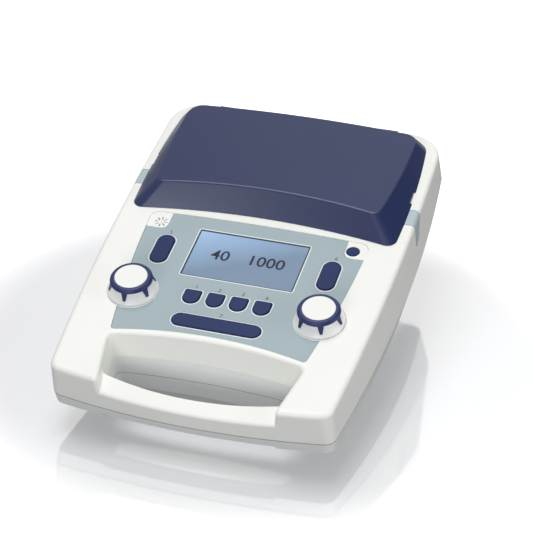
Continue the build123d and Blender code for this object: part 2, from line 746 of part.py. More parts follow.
def knuckle_seats(radius):
    """Round seats in the shell's rear rim that the lid's knuckles turn in, open upwards and to the rear."""
    reach = KNUCKLE_WIDTH / 2 + EAR_GAP
    seats = []
    for side in (-1, 1):
        low = side * HINGE_X - reach
        high = side * HINGE_X + reach
        seat = hinge_barrel(low, high, radius)
        seat += block((low, HINGE_Y - radius, HINGE_Z), (high, HINGE_Y, RAIL_TOP + OVERRUN))
        seat += block(
            (low, HINGE_Y, HINGE_Z - radius),
            (high, HINGE_Y + radius + OVERRUN, RAIL_TOP + OVERRUN),
        )
        seats.append(seat)
    return seats


def hinge_arm(low, high):
    """Arm from the lid's rear wall, over the shell's rim and down to the knuckle."""
    foot_z = RAIL_TOP + LID_GAP
    root_y = LID_REAR_Y - LID_WALL
    side = make_face(
        Polyline(
            (root_y, foot_z),
            (HINGE_Y - HINGE_RADIUS, foot_z),
            (HINGE_Y - HINGE_RADIUS, HINGE_Z),
            (HINGE_Y, HINGE_Z),
            (HINGE_Y, foot_z + HINGE_ARM_THICKNESS),
            (root_y, foot_z + HINGE_ARM_THICKNESS),
            close=True,
        )
    )
    return extrude(Plane.YZ.offset(low) * side, amount=high - low)


def make_hinge_pins():
    reach = KNUCKLE_WIDTH / 2 + EAR_GAP + EAR_WIDTH
    pins = []
    for side in (-1, 1):
        pins.append(hinge_barrel(side * HINGE_X - reach, side * HINGE_X + reach, HINGE_PIN_RADIUS))
    return pins


# Shells


def case_screw_places():
    """Places of the case screws, from how far each is drawn in from the housing's half width."""
    places = []
    for draw, y in CASE_SCREW_PLACES.values():
        places.append((HALF_WIDTH - draw, y))
        places.append((draw - HALF_WIDTH, y))
    return places


def catch_slot():
    """Slot in the rail top that the lid's catch goes down into."""
    half_width = CATCH_WIDTH / 2 + CATCH_SLOT_GAP
    return block(
        (CATCH_X - CATCH_THICKNESS / 2 - CATCH_SLOT_GAP, LATCH_Y - half_width, RAIL_TOP - WALL - OVERRUN),
        (CATCH_X + CATCH_THICKNESS / 2 + CATCH_SLOT_GAP / 2, LATCH_Y + half_width, RAIL_TOP + OVERRUN),
    )


def bin_outline(grow):
    return Pos(0, (BIN_FRONT_Y + BIN_REAR_Y) / 2) * RectangleRounded(
        2 * (BIN_HALF + grow), BIN_REAR_Y - BIN_FRONT_Y + 2 * grow, BIN_RADIUS + grow
    )


def make_upper_shell(outer):
    collar = opening_block(WALL)
    hollow = upper_block(WALL) - collar - step_block(WALL)
    shell = housing_top() - hollow
    shell -= opening_block(WALL + SEAT_GAP) & block(
        (-HALF_WIDTH, TOP_FRONT_Y, OPENING_FOOT_Z), (HALF_WIDTH, 0, COLLAR_SPLIT_Z)
    )
    # Ledge that carries the panel, then its rebate and the large cut-out behind it
    ledge_top = -PANEL_THICKNESS
    shell += plate(panel_outline(LEDGE_MARGIN), ledge_top - LEDGE_THICKNESS, RAIL_TOP - WALL)
    # Posts for the main board and for the case screws
    for x in (-BOARD_SCREW_X, BOARD_SCREW_X):
        for y in (BOARD_SCREW_FRONT_Y, BOARD_SCREW_REAR_Y):
            shell += rod(x, y, BOARD_TOP_Z, RAIL_TOP - WALL / 2, BOARD_BOSS_RADIUS)
    for x, y in case_screw_places():
        post = rod(x, y, parting_z(y) + CASE_BOSS_GAP, RAIL_TOP - WALL / 2, CASE_BOSS_RADIUS)
        shell += post & outer
    for ear in latch_ears():
        for piece in both_sides(ear & outer):
            shell += piece
    shell -= plate(panel_outline(PANEL_GAP), ledge_top, RAIL_TOP + OVERRUN)
    shell -= plate(panel_outline(-PANEL_LEDGE), ledge_top - LEDGE_THICKNESS - OVERRUN, ledge_top + OVERRUN)
    # Room through the ledge for the microphone, the power key's flange and the encoder bushings
    ledge_foot = ledge_top - LEDGE_THICKNESS
    shell -= rod(MICROPHONE_X, MICROPHONE_Y, ledge_foot, ledge_top, MICROPHONE_CASE_RADIUS + KEY_GAP)
    shell -= plate(power_outline(KEY_FLANGE + KEY_GAP), ledge_foot, ledge_top)
    for x in (-KNOB_X, KNOB_X):
        shell -= rod(x, KNOB_Y, ledge_foot, ledge_top, BUSHING_RADIUS + BUSHING_GAP)
        shell -= rod(x, KNOB_Y, 0, RAIL_TOP + OVERRUN, KNOB_BASE_RADIUS + PANEL_GAP)
    # Bin cut-out with a rebate for the bin's flange
    shell -= plate(bin_outline(BIN_GAP), RAIL_TOP - WALL - OVERRUN, RAIL_TOP + OVERRUN)
    shell -= plate(bin_outline(BIN_FLANGE + BIN_GAP), RAIL_TOP - BIN_WALL, RAIL_TOP + OVERRUN)
    for seat in knuckle_seats(HINGE_RADIUS + EAR_GAP + WALL):
        shell += seat & outer
    for ear in hinge_ears():
        shell += ear
    for seat in knuckle_seats(HINGE_RADIUS + EAR_GAP):
        shell -= seat
    for pin in make_hinge_pins():
        shell -= pin
    # Latch pockets, catch slots and pin bores
    for pocket in both_sides(latch_prism(LATCH_GAP, LATCH_FOOT_GAP, LATCH_INNER_X - LATCH_GAP)):
        shell -= pocket
    for slot in both_sides(catch_slot()):
        shell -= slot
    for pin in both_sides(make_latch_pin()):
        shell -= pin
    for x, y in case_screw_places():
        shell -= rod(x, y, parting_z(y) - OVERRUN, parting_z(y) + SCREW_BITE + CASE_BOSS_GAP, SCREW_RADIUS)
    for x in (-BOARD_SCREW_X, BOARD_SCREW_X):
        for y in (BOARD_SCREW_FRONT_Y, BOARD_SCREW_REAR_Y):
            shell -= rod(x, y, BOARD_TOP_Z - OVERRUN, BOARD_TOP_Z + SCREW_BITE, SCREW_RADIUS)
    return shell


def make_lower_shell(outer_upper):
    collar = opening_block(WALL)
    opening = opening_block(0)
    outer = lower_block(0) + belly_block(0)
    hollow = lower_block(WALL) + belly_block(WALL) - collar
    shell = outer - hollow
    # Collar round the opening, up to the split that shows in its rear wall
    rise = (collar - opening) & block(
        (-HALF_WIDTH, TOP_FRONT_Y, OPENING_FOOT_Z), (HALF_WIDTH, 0, COLLAR_SPLIT_Z - SEAT_GAP)
    )
    shell += rise & outer_upper
    for x, y in case_screw_places():
        post = rod(x, y, tray_z(y) - WALL, parting_z(y), CASE_BOSS_RADIUS)
        shell += post & outer
    shell -= opening
    for x, y in case_screw_places():
        seat = parting_z(y) - CASE_HEAD_BELOW
        shell -= rod(x, y, seat - OVERRUN, parting_z(y) + OVERRUN, SCREW_RADIUS)
        shell -= rod(x, y, tray_z(y) - OVERRUN, seat, SCREW_HEAD_RADIUS + CASE_COUNTERBORE_GAP)
    # Shadow groove round the top of the tray
    groove = parting_outline(-WALL) - parting_outline(PARTING_GROOVE_DEPTH)
    shell -= extrude(groove, amount=-PARTING_GROOVE_HEIGHT)
    # Shallow relief under the grab bar
    relief = block(
        (-BAR_RELIEF_HALF, -OVERRUN, -OVERRUN), (BAR_RELIEF_HALF, BAR_RELIEF_LENGTH, BAR_RELIEF_DEPTH)
    )
    shell -= TRAY_PLANE * relief
    # Recesses for the feet, and the connector cut-out in the rear wall
    for foot in make_feet():
        shell -= foot
    shell -= REAR_PLANE * connector_prism(SEAT_GAP, -CONNECTOR_THICKNESS, OVERRUN)
    shell -= REAR_PLANE * connector_prism(-CONNECTOR_LEDGE, -OVERRUN, OVERRUN)
    return shell


def make_feet():
    """Four rubber feet, part sunk into the belly's underside."""
    feet = []
    for x in (-FOOT_X, FOOT_X):
        for y in (FOOT_FRONT_Y, FOOT_REAR_Y):
            foot = rod(x, y, 0, BELLY_FOOT_Z + FOOT_SUNK, FOOT_RADIUS)
            feet.append(DECK_TO_TABLE.inverse() * foot)
    return feet


def make_case_screws():
    """Self-tapping screws, up through the tray's posts into the upper shell's posts."""
    screws = []
    for x, y in case_screw_places():
        seat = parting_z(y) - CASE_HEAD_BELOW
        screw = rod(x, y, seat, parting_z(y) + SCREW_BITE, SCREW_RADIUS)
        screw += rod(x, y, seat - SCREW_HEAD_HEIGHT, seat, SCREW_HEAD_RADIUS)
        screws.append(screw)
    return screws


def make_storage_bin():
    """Open liner under the lid, hung by a flange on the deck."""
    def tub(shrink, floor_z, top_z):
        rim = bin_outline(-shrink)
        drop = BIN_DRAFT + shrink
        foot = bin_outline(-drop)
        return loft([Pos(0, 0, floor_z) * foot, Pos(0, 0, top_z) * rim], ruled=True)

    outer = tub(0, BIN_FLOOR_Z, RAIL_TOP)
    outer = fillet(outer.faces().sort_by(Axis.Z)[0].edges(), BIN_FLOOR_RADIUS)
    outer += plate(bin_outline(BIN_FLANGE), RAIL_TOP - BIN_WALL, RAIL_TOP)
    inner = tub(BIN_WALL, BIN_FLOOR_Z + BIN_WALL, RAIL_TOP)
    inner = fillet(inner.faces().sort_by(Axis.Z)[0].edges(), BIN_FLOOR_RADIUS - BIN_WALL)
    return outer - inner - plate(bin_outline(-BIN_WALL), RAIL_TOP, RAIL_TOP + OVERRUN)


# Control panel and its inserts


def corner_square(side, grow):
    """Square corner of the panel that an insert takes, rounded at its inner corner."""
    far = PANEL_TOP_HALF + OVERRUN
    size_x = far - INSERT_INNER_X + grow
    size_y = far - INSERT_INNER_Y + grow
    square = Rectangle(size_x, size_y, align=(Align.MIN, Align.MIN))
    inner = square.vertices().sort_by(Axis.X)[:2].sort_by(Axis.Y)[0]
    square = fillet([inner], INSERT_RADIUS)
    placed = Pos(INSERT_INNER_X - grow, INSERT_INNER_Y - grow) * square
    return placed if side > 0 else mirror(placed, about=Plane.YZ)


def display_outline(grow):
    width = 2 * (DISPLAY_HALF + grow)
    height = DISPLAY_HIGH_Y - DISPLAY_LOW_Y + 2 * grow
    return Pos(0, (DISPLAY_LOW_Y + DISPLAY_HIGH_Y) / 2) * RectangleRounded(width, height, WINDOW_RADIUS)


def function_outline(x, grow):
    """Function key: flat top with small corners, round foot."""
    half = FUNCTION_WIDTH / 2 + grow
    top = FUNCTION_ABOVE + grow
    waist = half - FUNCTION_BELOW - grow
    edges = [
        Line((-half, waist), (-half, top)),
        Line((-half, top), (half, top)),
        Line((half, top), (half, waist)),
        ThreePointArc((half, waist), (0, waist - half), (-half, waist)),
    ]
    outline = make_face(edges)
    corners = outline.vertices().sort_by(Axis.Y)[-2:]
    return Pos(x, FUNCTION_Y) * fillet(corners, FUNCTION_CORNER + grow)


def upright_slot(x, grow):
    return Pos(x, OVAL_Y) * SlotOverall(OVAL_LENGTH + 2 * grow, OVAL_WIDTH + 2 * grow, rotation=90)


def tone_outline(grow):
    return Pos(0, TONE_Y) * SlotOverall(TONE_LENGTH + 2 * grow, TONE_WIDTH + 2 * grow)


def power_outline(grow):
    return Pos(POWER_X, POWER_Y) * Circle(POWER_RADIUS + grow)


def key_table():
    """Each key's outline function, and where its plungers stand."""
    keys = {}
    for index in range(FUNCTION_COUNT):
        x = (index - (FUNCTION_COUNT - 1) / 2) * FUNCTION_PITCH
        keys[f"function_key_{index + 1}"] = (lambda grow, x=x: function_outline(x, grow), [(x, FUNCTION_Y)])
    for name, x in (("left_oval_key", -OVAL_X), ("right_oval_key", OVAL_X)):
        reach = (OVAL_LENGTH - OVAL_WIDTH) / 2
        places = [(x, OVAL_Y - reach), (x, OVAL_Y + reach)]
        keys[name] = (lambda grow, x=x: upright_slot(x, grow), places)
    reach = (TONE_LENGTH - TONE_WIDTH) / 2
    keys["tone_key"] = (tone_outline, [(-reach, TONE_Y), (reach, TONE_Y)])
    keys["power_key"] = (power_outline, [(POWER_X, POWER_Y)])
    return keys


def make_key(outline, places):
    """Key cap with a softened rim, a flange that holds it under the panel, and its plungers."""
    flange_top = -PANEL_THICKNESS - KEY_FLANGE_SEAT
    cap = plate(outline(0), flange_top, KEY_PROUD)
    cap = chamfer(cap.faces().sort_by(Axis.Z)[-1].edges(), KEY_EDGE)
    cap += plate(outline(KEY_FLANGE), flange_top - KEY_FLANGE_THICKNESS, flange_top)
    for x, y in places:
        cap += rod(x, y, PLUNGER_FOOT_Z, flange_top, PLUNGER_RADIUS)
    return cap


def make_control_panel(keys):
    """Fascia plate in the deck's rebate, with the display and key cut-outs."""
    panel = plate(panel_outline(0), -PANEL_THICKNESS, 0)
    for side in (-1, 1):
        panel -= plate(corner_square(side, 0), -PANEL_THICKNESS - OVERRUN, OVERRUN)
    for outline, _ in keys.values():
        panel -= plate(outline(KEY_GAP), -PANEL_THICKNESS - OVERRUN, OVERRUN)
    panel -= plate(display_outline(WINDOW_GAP), -WINDOW_SUNK - WINDOW_THICKNESS, OVERRUN)
    panel -= plate(display_outline(-WINDOW_LEDGE), -PANEL_THICKNESS - OVERRUN, OVERRUN)
    for x in (-KNOB_X, KNOB_X):
        panel -= rod(x, KNOB_Y, -PANEL_THICKNESS - OVERRUN, OVERRUN, BUSHING_RADIUS + BUSHING_GAP)
    return panel


def make_insert(side):
    """Pale corner insert, slightly proud of the panel."""
    corner = corner_square(side, -PANEL_GAP) & panel_outline(0)
    insert = plate(corner, -PANEL_THICKNESS, INSERT_PROUD)
    return insert


def make_microphone_grille():
    grille = make_insert(-1)
    slot_length = GRILLE_SLOT_END - GRILLE_SLOT_START + GRILLE_SLOT_WIDTH
    slot_place = (GRILLE_SLOT_END + GRILLE_SLOT_START) / 2
    for index in range(GRILLE_SLOTS):
        turn = Rot(0, 0, index * 360 / GRILLE_SLOTS)
        slot = turn * Pos(slot_place, 0) * SlotOverall(slot_length, GRILLE_SLOT_WIDTH)
        grille -= plate(Pos(MICROPHONE_X, MICROPHONE_Y) * slot, -PANEL_THICKNESS - OVERRUN, OVERRUN)
    grille -= rod(MICROPHONE_X, MICROPHONE_Y, -PANEL_THICKNESS - OVERRUN, OVERRUN, GRILLE_CENTRE_RADIUS)
    return grille


def make_power_bezel():
    bezel = make_insert(1)
    return bezel - plate(power_outline(KEY_GAP), -PANEL_THICKNESS - OVERRUN, OVERRUN)


def make_microphone():
    top = -PANEL_THICKNESS - SEAT_GAP
    return rod(MICROPHONE_X, MICROPHONE_Y, top - MICROPHONE_DEPTH, top, MICROPHONE_CASE_RADIUS)


# Display stack


def make_window():
    top = -WINDOW_SUNK
    return plate(display_outline(0), top - WINDOW_THICKNESS, top)


def make_gasket():
    ring = display_outline(GASKET_WIDTH - WINDOW_LEDGE) - display_outline(-WINDOW_LEDGE)
    return plate(ring, -PANEL_THICKNESS - GASKET_THICKNESS, -PANEL_THICKNESS)


def module_outline():
    width = 2 * (DISPLAY_HALF + MODULE_MARGIN_X)
    height = DISPLAY_HIGH_Y - DISPLAY_LOW_Y + 2 * MODULE_MARGIN_Y
    return Pos(0, (DISPLAY_LOW_Y + DISPLAY_HIGH_Y) / 2) * Rectangle(width, height)


def make_module():
    top = -PANEL_THICKNESS - GASKET_THICKNESS
    return plate(module_outline(), top - MODULE_THICKNESS, top)


def make_spacers():
    """Four posts between the main board and the display module."""
    top = -PANEL_THICKNESS - GASKET_THICKNESS - MODULE_THICKNESS
    posts = []
    for x in (-1, 1):
        inset = SPACER_INSET - MODULE_MARGIN_Y
        for y in (DISPLAY_LOW_Y + inset, DISPLAY_HIGH_Y - inset):
            reach = DISPLAY_HALF + MODULE_MARGIN_X - SPACER_INSET
            posts.append(rod(x * reach, y, BOARD_TOP_Z, top, SPACER_RADIUS))
    return posts


# Boards


def make_main_board():
    outline = Rectangle(2 * BOARD_HALF, BOARD_REAR_Y - BOARD_FRONT_Y)
    middle = Pos(0, (BOARD_FRONT_Y + BOARD_REAR_Y) / 2)
    board = plate(middle * outline, BOARD_TOP_Z - BOARD_THICKNESS, BOARD_TOP_Z)
    under = BOARD_TOP_Z - BOARD_THICKNESS
    for x in (-CHIP_X, 0, CHIP_X):
        chip = Pos(x, CHIP_Y) * Rectangle(CHIP_WIDTH, CHIP_WIDTH)
        board += plate(chip, under - CHIP_HEIGHT, under)
    socket = Rectangle(BOARD_SOCKET_LENGTH, BOARD_SOCKET_WIDTH)
    socket_place = Pos(RIBBON_X, BOARD_REAR_Y - BOARD_SOCKET_WIDTH)
    board += plate(socket_place * socket, under - BOARD_SOCKET_HEIGHT, under)
    for x in (-BOARD_SCREW_X, BOARD_SCREW_X):
        for y in (BOARD_SCREW_FRONT_Y, BOARD_SCREW_REAR_Y):
            board -= rod(x, y, under - OVERRUN, BOARD_TOP_Z + OVERRUN, SCREW_RADIUS)
    return board


def make_board_screws():
    under = BOARD_TOP_Z - BOARD_THICKNESS
    screws = []
    for x in (-BOARD_SCREW_X, BOARD_SCREW_X):
        for y in (BOARD_SCREW_FRONT_Y, BOARD_SCREW_REAR_Y):
            screw = rod(x, y, under, BOARD_TOP_Z + SCREW_BITE, SCREW_RADIUS)
            screw += rod(x, y, under - SCREW_HEAD_HEIGHT, under, SCREW_HEAD_RADIUS)
            screws.append(screw)
    return screws


def make_key_mat(keys):
    """Rubber mat on the board with one dome under each plunger."""
    low = TONE_Y - TONE_WIDTH / 2
    high = OVAL_Y + OVAL_LENGTH / 2
    mat = Pos(0, TONE_Y) * Rectangle(TONE_LENGTH, TONE_WIDTH)
    strip_width = FUNCTION_COUNT * FUNCTION_PITCH
    strip_length = FUNCTION_Y + FUNCTION_ABOVE - low
    mat += Pos(0, low + strip_length / 2) * Rectangle(strip_width, strip_length)
    for x in (-OVAL_X, OVAL_X):
        mat += Pos(x, OVAL_Y) * Rectangle(OVAL_WIDTH, OVAL_LENGTH)
    link_y = OVAL_Y - OVAL_LENGTH / 2 + MAT_MARGIN / 2
    for side in (-1, 1):
        inner = strip_width / 2 - MAT_MARGIN
        span = OVAL_X - inner
        link_low = FUNCTION_Y
        corner = Pos(side * (inner + span / 2), (link_low + link_y) / 2)
        mat += corner * Rectangle(MAT_MARGIN, link_y - link_low + 2 * MAT_MARGIN)
        mat += Pos(side * (inner + span / 4), link_low) * Rectangle(span / 2 + MAT_MARGIN, MAT_MARGIN)
        mat += Pos(side * (OVAL_X - span / 4), link_y) * Rectangle(span / 2 + MAT_MARGIN, MAT_MARGIN)
    mat += Pos(POWER_X, POWER_Y) * Circle(POWER_RADIUS)
    mat += Pos(OVAL_X, (high + POWER_Y) / 2) * Rectangle(MAT_MARGIN, POWER_Y - high + MAT_MARGIN)
    mat += Pos((OVAL_X + POWER_X) / 2, POWER_Y) * Rectangle(POWER_X - OVAL_X, MAT_MARGIN)
    solid = plate(mat, BOARD_TOP_Z, BOARD_TOP_Z + MAT_THICKNESS)
    for outline, places in keys.values():
        for x, y in places:
            dome = Cone(
                DOME_RADIUS, DOME_TIP_RADIUS, DOME_HEIGHT,
                align=(Align.CENTER, Align.CENTER, Align.MIN),
            )
            solid += Pos(x, y, BOARD_TOP_Z + MAT_THICKNESS) * dome
    return solid


# Knobs and encoders, drawn about their own axis and then placed


def profile_solid(edges):
    """Turned solid from a closed profile drawn as radius and height."""
    return revolve(Plane.XZ * make_face(edges), axis=Axis.Z)


def make_knob_skirt():
    edge_z = KNOB_FOOT_Z + KNOB_FOOT_EDGE
    bore = SHAFT_RADIUS + RUNNING_FIT
    roof_z = KNOB_WAIST_Z - KNOB_WALL
    inner_foot = KNOB_FOOT_RADIUS - KNOB_WALL
    inner_waist = KNOB_WAIST_RADIUS - KNOB_WALL
    edges = [
        Line((0, SHAFT_TOP_Z + RUNNING_FIT), (0, KNOB_CORE_TOP_Z)),
        Line((0, KNOB_CORE_TOP_Z), (KNOB_CORE_RADIUS, KNOB_CORE_TOP_Z)),
        Line((KNOB_CORE_RADIUS, KNOB_CORE_TOP_Z), (KNOB_CORE_RADIUS, KNOB_WAIST_Z)),
        Line((KNOB_CORE_RADIUS, KNOB_WAIST_Z), (KNOB_WAIST_RADIUS, KNOB_WAIST_Z)),
        ThreePointArc(
            (KNOB_WAIST_RADIUS, KNOB_WAIST_Z), (KNOB_FLARE_RADIUS, KNOB_FLARE_Z), (KNOB_FOOT_RADIUS, edge_z)
        ),
        Line((KNOB_FOOT_RADIUS, edge_z), (KNOB_FOOT_RADIUS, KNOB_FOOT_Z)),
        Line((KNOB_FOOT_RADIUS, KNOB_FOOT_Z), (inner_foot, KNOB_FOOT_Z)),
        Line((inner_foot, KNOB_FOOT_Z), (inner_waist, roof_z)),
        Line((inner_waist, roof_z), (KNOB_HUB_RADIUS, roof_z)),
        Line((KNOB_HUB_RADIUS, roof_z), (KNOB_HUB_RADIUS, KNOB_HUB_FOOT_Z)),
        Line((KNOB_HUB_RADIUS, KNOB_HUB_FOOT_Z), (bore, KNOB_HUB_FOOT_Z)),
        Line((bore, KNOB_HUB_FOOT_Z), (bore, SHAFT_TOP_Z + RUNNING_FIT)),
        Line((bore, SHAFT_TOP_Z + RUNNING_FIT), (0, SHAFT_TOP_Z + RUNNING_FIT)),
    ]
    return profile_solid(edges)


def tab_profile():
    """Thin profile that follows the skirt's flare and runs up into the grip ring."""
    inner = RUNNING_FIT
    outer = RUNNING_FIT + TAB_THICKNESS
    edge_z = KNOB_FOOT_Z + KNOB_FOOT_EDGE
    return [
        Line((KNOB_WAIST_RADIUS + inner, KNOB_WAIST_Z), (KNOB_WAIST_RADIUS + inner, GRIP_BELLY_Z)),
        Line((KNOB_WAIST_RADIUS + inner, GRIP_BELLY_Z), (KNOB_WAIST_RADIUS + outer, GRIP_BELLY_Z)),
        Line((KNOB_WAIST_RADIUS + outer, GRIP_BELLY_Z), (KNOB_WAIST_RADIUS + outer, KNOB_WAIST_Z)),
        ThreePointArc(
            (KNOB_WAIST_RADIUS + outer, KNOB_WAIST_Z),
            (KNOB_FLARE_RADIUS + outer, KNOB_FLARE_Z),
            (KNOB_FOOT_RADIUS + outer, edge_z),
        ),
        Line((KNOB_FOOT_RADIUS + outer, edge_z), (KNOB_FOOT_RADIUS + inner, edge_z)),
        ThreePointArc(
            (KNOB_FOOT_RADIUS + inner, edge_z),
            (KNOB_FLARE_RADIUS + inner, KNOB_FLARE_Z),
            (KNOB_WAIST_RADIUS + inner, KNOB_WAIST_Z),
        ),
    ]


def make_knob_grip():
    """Rounded grip ring with tapered tabs that run down over the skirt."""
    inner = KNOB_CORE_RADIUS + RUNNING_FIT
    foot_z = KNOB_WAIST_Z + RUNNING_FIT
    seat_z = KNOB_CORE_TOP_Z + RUNNING_FIT
    hole = CAP_RADIUS + RUNNING_FIT
    ring_edges = [
        Line((inner, foot_z), (inner, seat_z)),
        Line((inner, seat_z), (hole, seat_z)),
        Line((hole, seat_z), (hole, GRIP_TOP_Z)),
        Line((hole, GRIP_TOP_Z), (GRIP_TOP_RADIUS, GRIP_TOP_Z)),
        ThreePointArc(
            (GRIP_TOP_RADIUS, GRIP_TOP_Z),
            (GRIP_SHOULDER_RADIUS, GRIP_SHOULDER_Z),
            (GRIP_RADIUS, GRIP_BELLY_Z),
        ),
        Line((GRIP_RADIUS, GRIP_BELLY_Z), (GRIP_RADIUS, foot_z)),
        Line((GRIP_RADIUS, foot_z), (inner, foot_z)),
    ]
    ring = profile_solid(ring_edges)
    band = profile_solid(tab_profile())
    wedge_face = make_face(
        Polyline(
            (-TAB_FOOT_HALF, TAB_FOOT_Z),
            (TAB_FOOT_HALF, TAB_FOOT_Z),
            (TAB_ROOT_HALF, GRIP_BELLY_Z),
            (-TAB_ROOT_HALF, GRIP_BELLY_Z),
            close=True,
        )
    )
    wedge_reach = KNOB_FOOT_RADIUS + OVERRUN
    wedge = extrude(Plane.XZ * wedge_face, amount=wedge_reach)
    tab = band & wedge
    grip = ring
    for index in range(GRIP_TABS):
        grip += Rot(0, 0, index * 360 / GRIP_TABS) * tab
    return grip


def make_knob_cap():
    cap = rod(0, 0, KNOB_CORE_TOP_Z + RUNNING_FIT, CAP_TOP_Z, CAP_RADIUS)
    return fillet(cap.faces().sort_by(Axis.Z)[-1].edges(), CAP_EDGE)


def make_encoder():
    """Encoder case on the board with its threaded bushing."""
    case = plate(Rectangle(ENCODER_WIDTH, ENCODER_WIDTH), BOARD_TOP_Z, ENCODER_TOP_Z)
    case += rod(0, 0, ENCODER_TOP_Z, BUSHING_TOP_Z, BUSHING_RADIUS)
    return case - rod(0, 0, ENCODER_TOP_Z, BUSHING_TOP_Z + OVERRUN, SHAFT_RADIUS + RUNNING_FIT)


def make_encoder_shaft():
    return rod(0, 0, ENCODER_TOP_Z + SEAT_GAP, SHAFT_TOP_Z, SHAFT_RADIUS)


def make_encoder_nut():
    hexagon = RegularPolygon(NUT_WIDTH / 2, NUT_SIDES, major_radius=False)
    nut = hexagon - Circle(BUSHING_RADIUS + RUNNING_FIT)
    return plate(nut, KNOB_BASE_THICKNESS, KNOB_BASE_THICKNESS + NUT_THICKNESS)


def make_knob_base():
    """Pale disc that the knob turns over, clamped to the panel by the encoder's nut."""
    base = rod(0, 0, 0, KNOB_BASE_THICKNESS, KNOB_BASE_RADIUS)
    base = chamfer(base.faces().sort_by(Axis.Z)[-1].edges(), KNOB_BASE_EDGE)
    return base - rod(0, 0, -OVERRUN, OVERRUN, BUSHING_RADIUS + RUNNING_FIT)


# Lid


def lid_body(inset):
    """Closed form of the lid, moved in by an inset on every side but its open rim."""
    rim = plan_outline(
        LID_FRONT_Y + inset, LID_FRONT_BULGE, LID_REAR_Y - inset,
        LID_FRONT_HALF - inset, LID_MIDDLE_HALF - inset, LID_REAR_HALF - inset,
        LID_FRONT_RADIUS - inset, LID_REAR_RADIUS - inset, LID_REAR_BULGE,
    )
    crest = plan_outline(
        LID_CREST_FRONT_Y + inset, LID_CREST_FRONT_BULGE, LID_CREST_REAR_Y - inset,
        LID_CREST_FRONT_HALF - inset, LID_CREST_MIDDLE_HALF - inset, LID_CREST_REAR_HALF - inset,
        LID_CREST_FRONT_RADIUS - inset, LID_CREST_REAR_RADIUS - inset, LID_CREST_REAR_BULGE,
    )
    foot_z = RAIL_TOP + LID_GAP
    body = loft([Pos(0, 0, foot_z) * rim, Pos(0, 0, LID_CREST_Z) * crest], ruled=True)
    return body & lid_roof(inset)


def lid_roof(inset):
    """Everything under the lid's crowned top."""
    half = LID_MIDDLE_HALF + OVERRUN

    def arch(y, edge_z, crown):
        edges = [
            Line((-half, 0), (half, 0)),
            Line((half, 0), (half, edge_z - inset)),
            ThreePointArc((half, edge_z - inset), (0, edge_z + crown - inset), (-half, edge_z - inset)),
            Line((-half, edge_z - inset), (-half, 0)),
        ]
        return Plane(origin=(0, y, 0), x_dir=(1, 0, 0), z_dir=(0, -1, 0)) * make_face(edges)

    front = arch(LID_FRONT_Y + LID_FRONT_BULGE - OVERRUN, LID_ROOF_FRONT_Z, LID_ROOF_FRONT_CROWN)
    rear = arch(LID_REAR_Y + OVERRUN, LID_ROOF_REAR_Z, LID_ROOF_REAR_CROWN)
    return loft([front, rear], ruled=True)


def make_catch():
    """Blade under the lid's side wall, with the window that the latch's nose enters."""
    blade = block(
        (CATCH_X - CATCH_THICKNESS / 2, LATCH_Y - CATCH_WIDTH / 2, RAIL_TOP - CATCH_DEPTH),
        (CATCH_X + CATCH_THICKNESS / 2, LATCH_Y + CATCH_WIDTH / 2, RAIL_TOP + LID_GAP + CATCH_ROOT),
    )
    window_half = LATCH_NOSE_WIDTH / 2 + CATCH_WINDOW_GAP
    window_foot = LATCH_NOSE_TOP_Z - LATCH_NOSE_THICKNESS - LATCH_GAP
    window = block(
        (CATCH_X - CATCH_THICKNESS, LATCH_Y - window_half, window_foot),
        (CATCH_X + CATCH_THICKNESS, LATCH_Y + window_half, LATCH_NOSE_TOP_Z + CATCH_WINDOW_RISE),
    )
    return blade - window


def make_lid():
    """Storage lid: a thin crowned shell with catches, pry notches and hinge knuckles."""
    body = lid_body(0)
    crest_edges = body.faces().sort_by(Axis.Z)[-1].edges()
    body = fillet(crest_edges, LID_EDGE_RADIUS)
    lid = body - lid_body(LID_WALL)
    foot_z = RAIL_TOP + LID_GAP
    for catch in both_sides(make_catch()):
        lid += catch
    for notch in both_sides(
        block(
            (LID_FRONT_HALF - LID_WALL / 2, LID_NOTCH_FRONT_Y, 0),
            (LID_FRONT_HALF + OVERRUN, LID_NOTCH_REAR_Y, foot_z + LID_NOTCH_HEIGHT),
        )
    ):
        lid -= notch
    for side in (-1, 1):
        low = side * HINGE_X - KNUCKLE_WIDTH / 2
        high = side * HINGE_X + KNUCKLE_WIDTH / 2
        knuckle = hinge_barrel(low, high, HINGE_RADIUS)
        lid += knuckle + (hinge_arm(low, high) - lid_body(LID_WALL))
    return lid - hinge_barrel(-LID_REAR_HALF, LID_REAR_HALF, HINGE_PIN_RADIUS + RUNNING_FIT)


# Rear connectors, drawn on the rear wall's plane: X across, Y up the wall, Z outwards


REAR_LENGTH = hypot(PARTING_REAR_Y - TRAY_REAR_Y, PARTING_REAR_Z - TRAY_REAR_Z)
REAR_PLANE = Plane(
    origin=(0, (PARTING_REAR_Y + TRAY_REAR_Y) / 2, (PARTING_REAR_Z + TRAY_REAR_Z) / 2),
    x_dir=(-1, 0, 0),
    z_dir=(0, PARTING_REAR_Z - TRAY_REAR_Z, TRAY_REAR_Y - PARTING_REAR_Y),
)


def connector_prism(grow, low, high):
    width = CONNECTOR_WIDTH + 2 * grow
    height = CONNECTOR_HEIGHT + 2 * grow
    return plate(RectangleRounded(width, height, CONNECTOR_RADIUS + min(grow, 0) / 2), low, high)


def connector_row():
    """Even places across the plate: the jacks, then the data socket, then the power inlet."""
    reach = CONNECTOR_WIDTH / 2 - CONNECTOR_END_MARGIN
    pitch = 2 * reach / (JACK_COUNT + 1)
    return [index * pitch - reach for index in range(JACK_COUNT + 2)]


JACK_PLACES = connector_row()[:JACK_COUNT]
SOCKET_X, INLET_X = connector_row()[JACK_COUNT:]


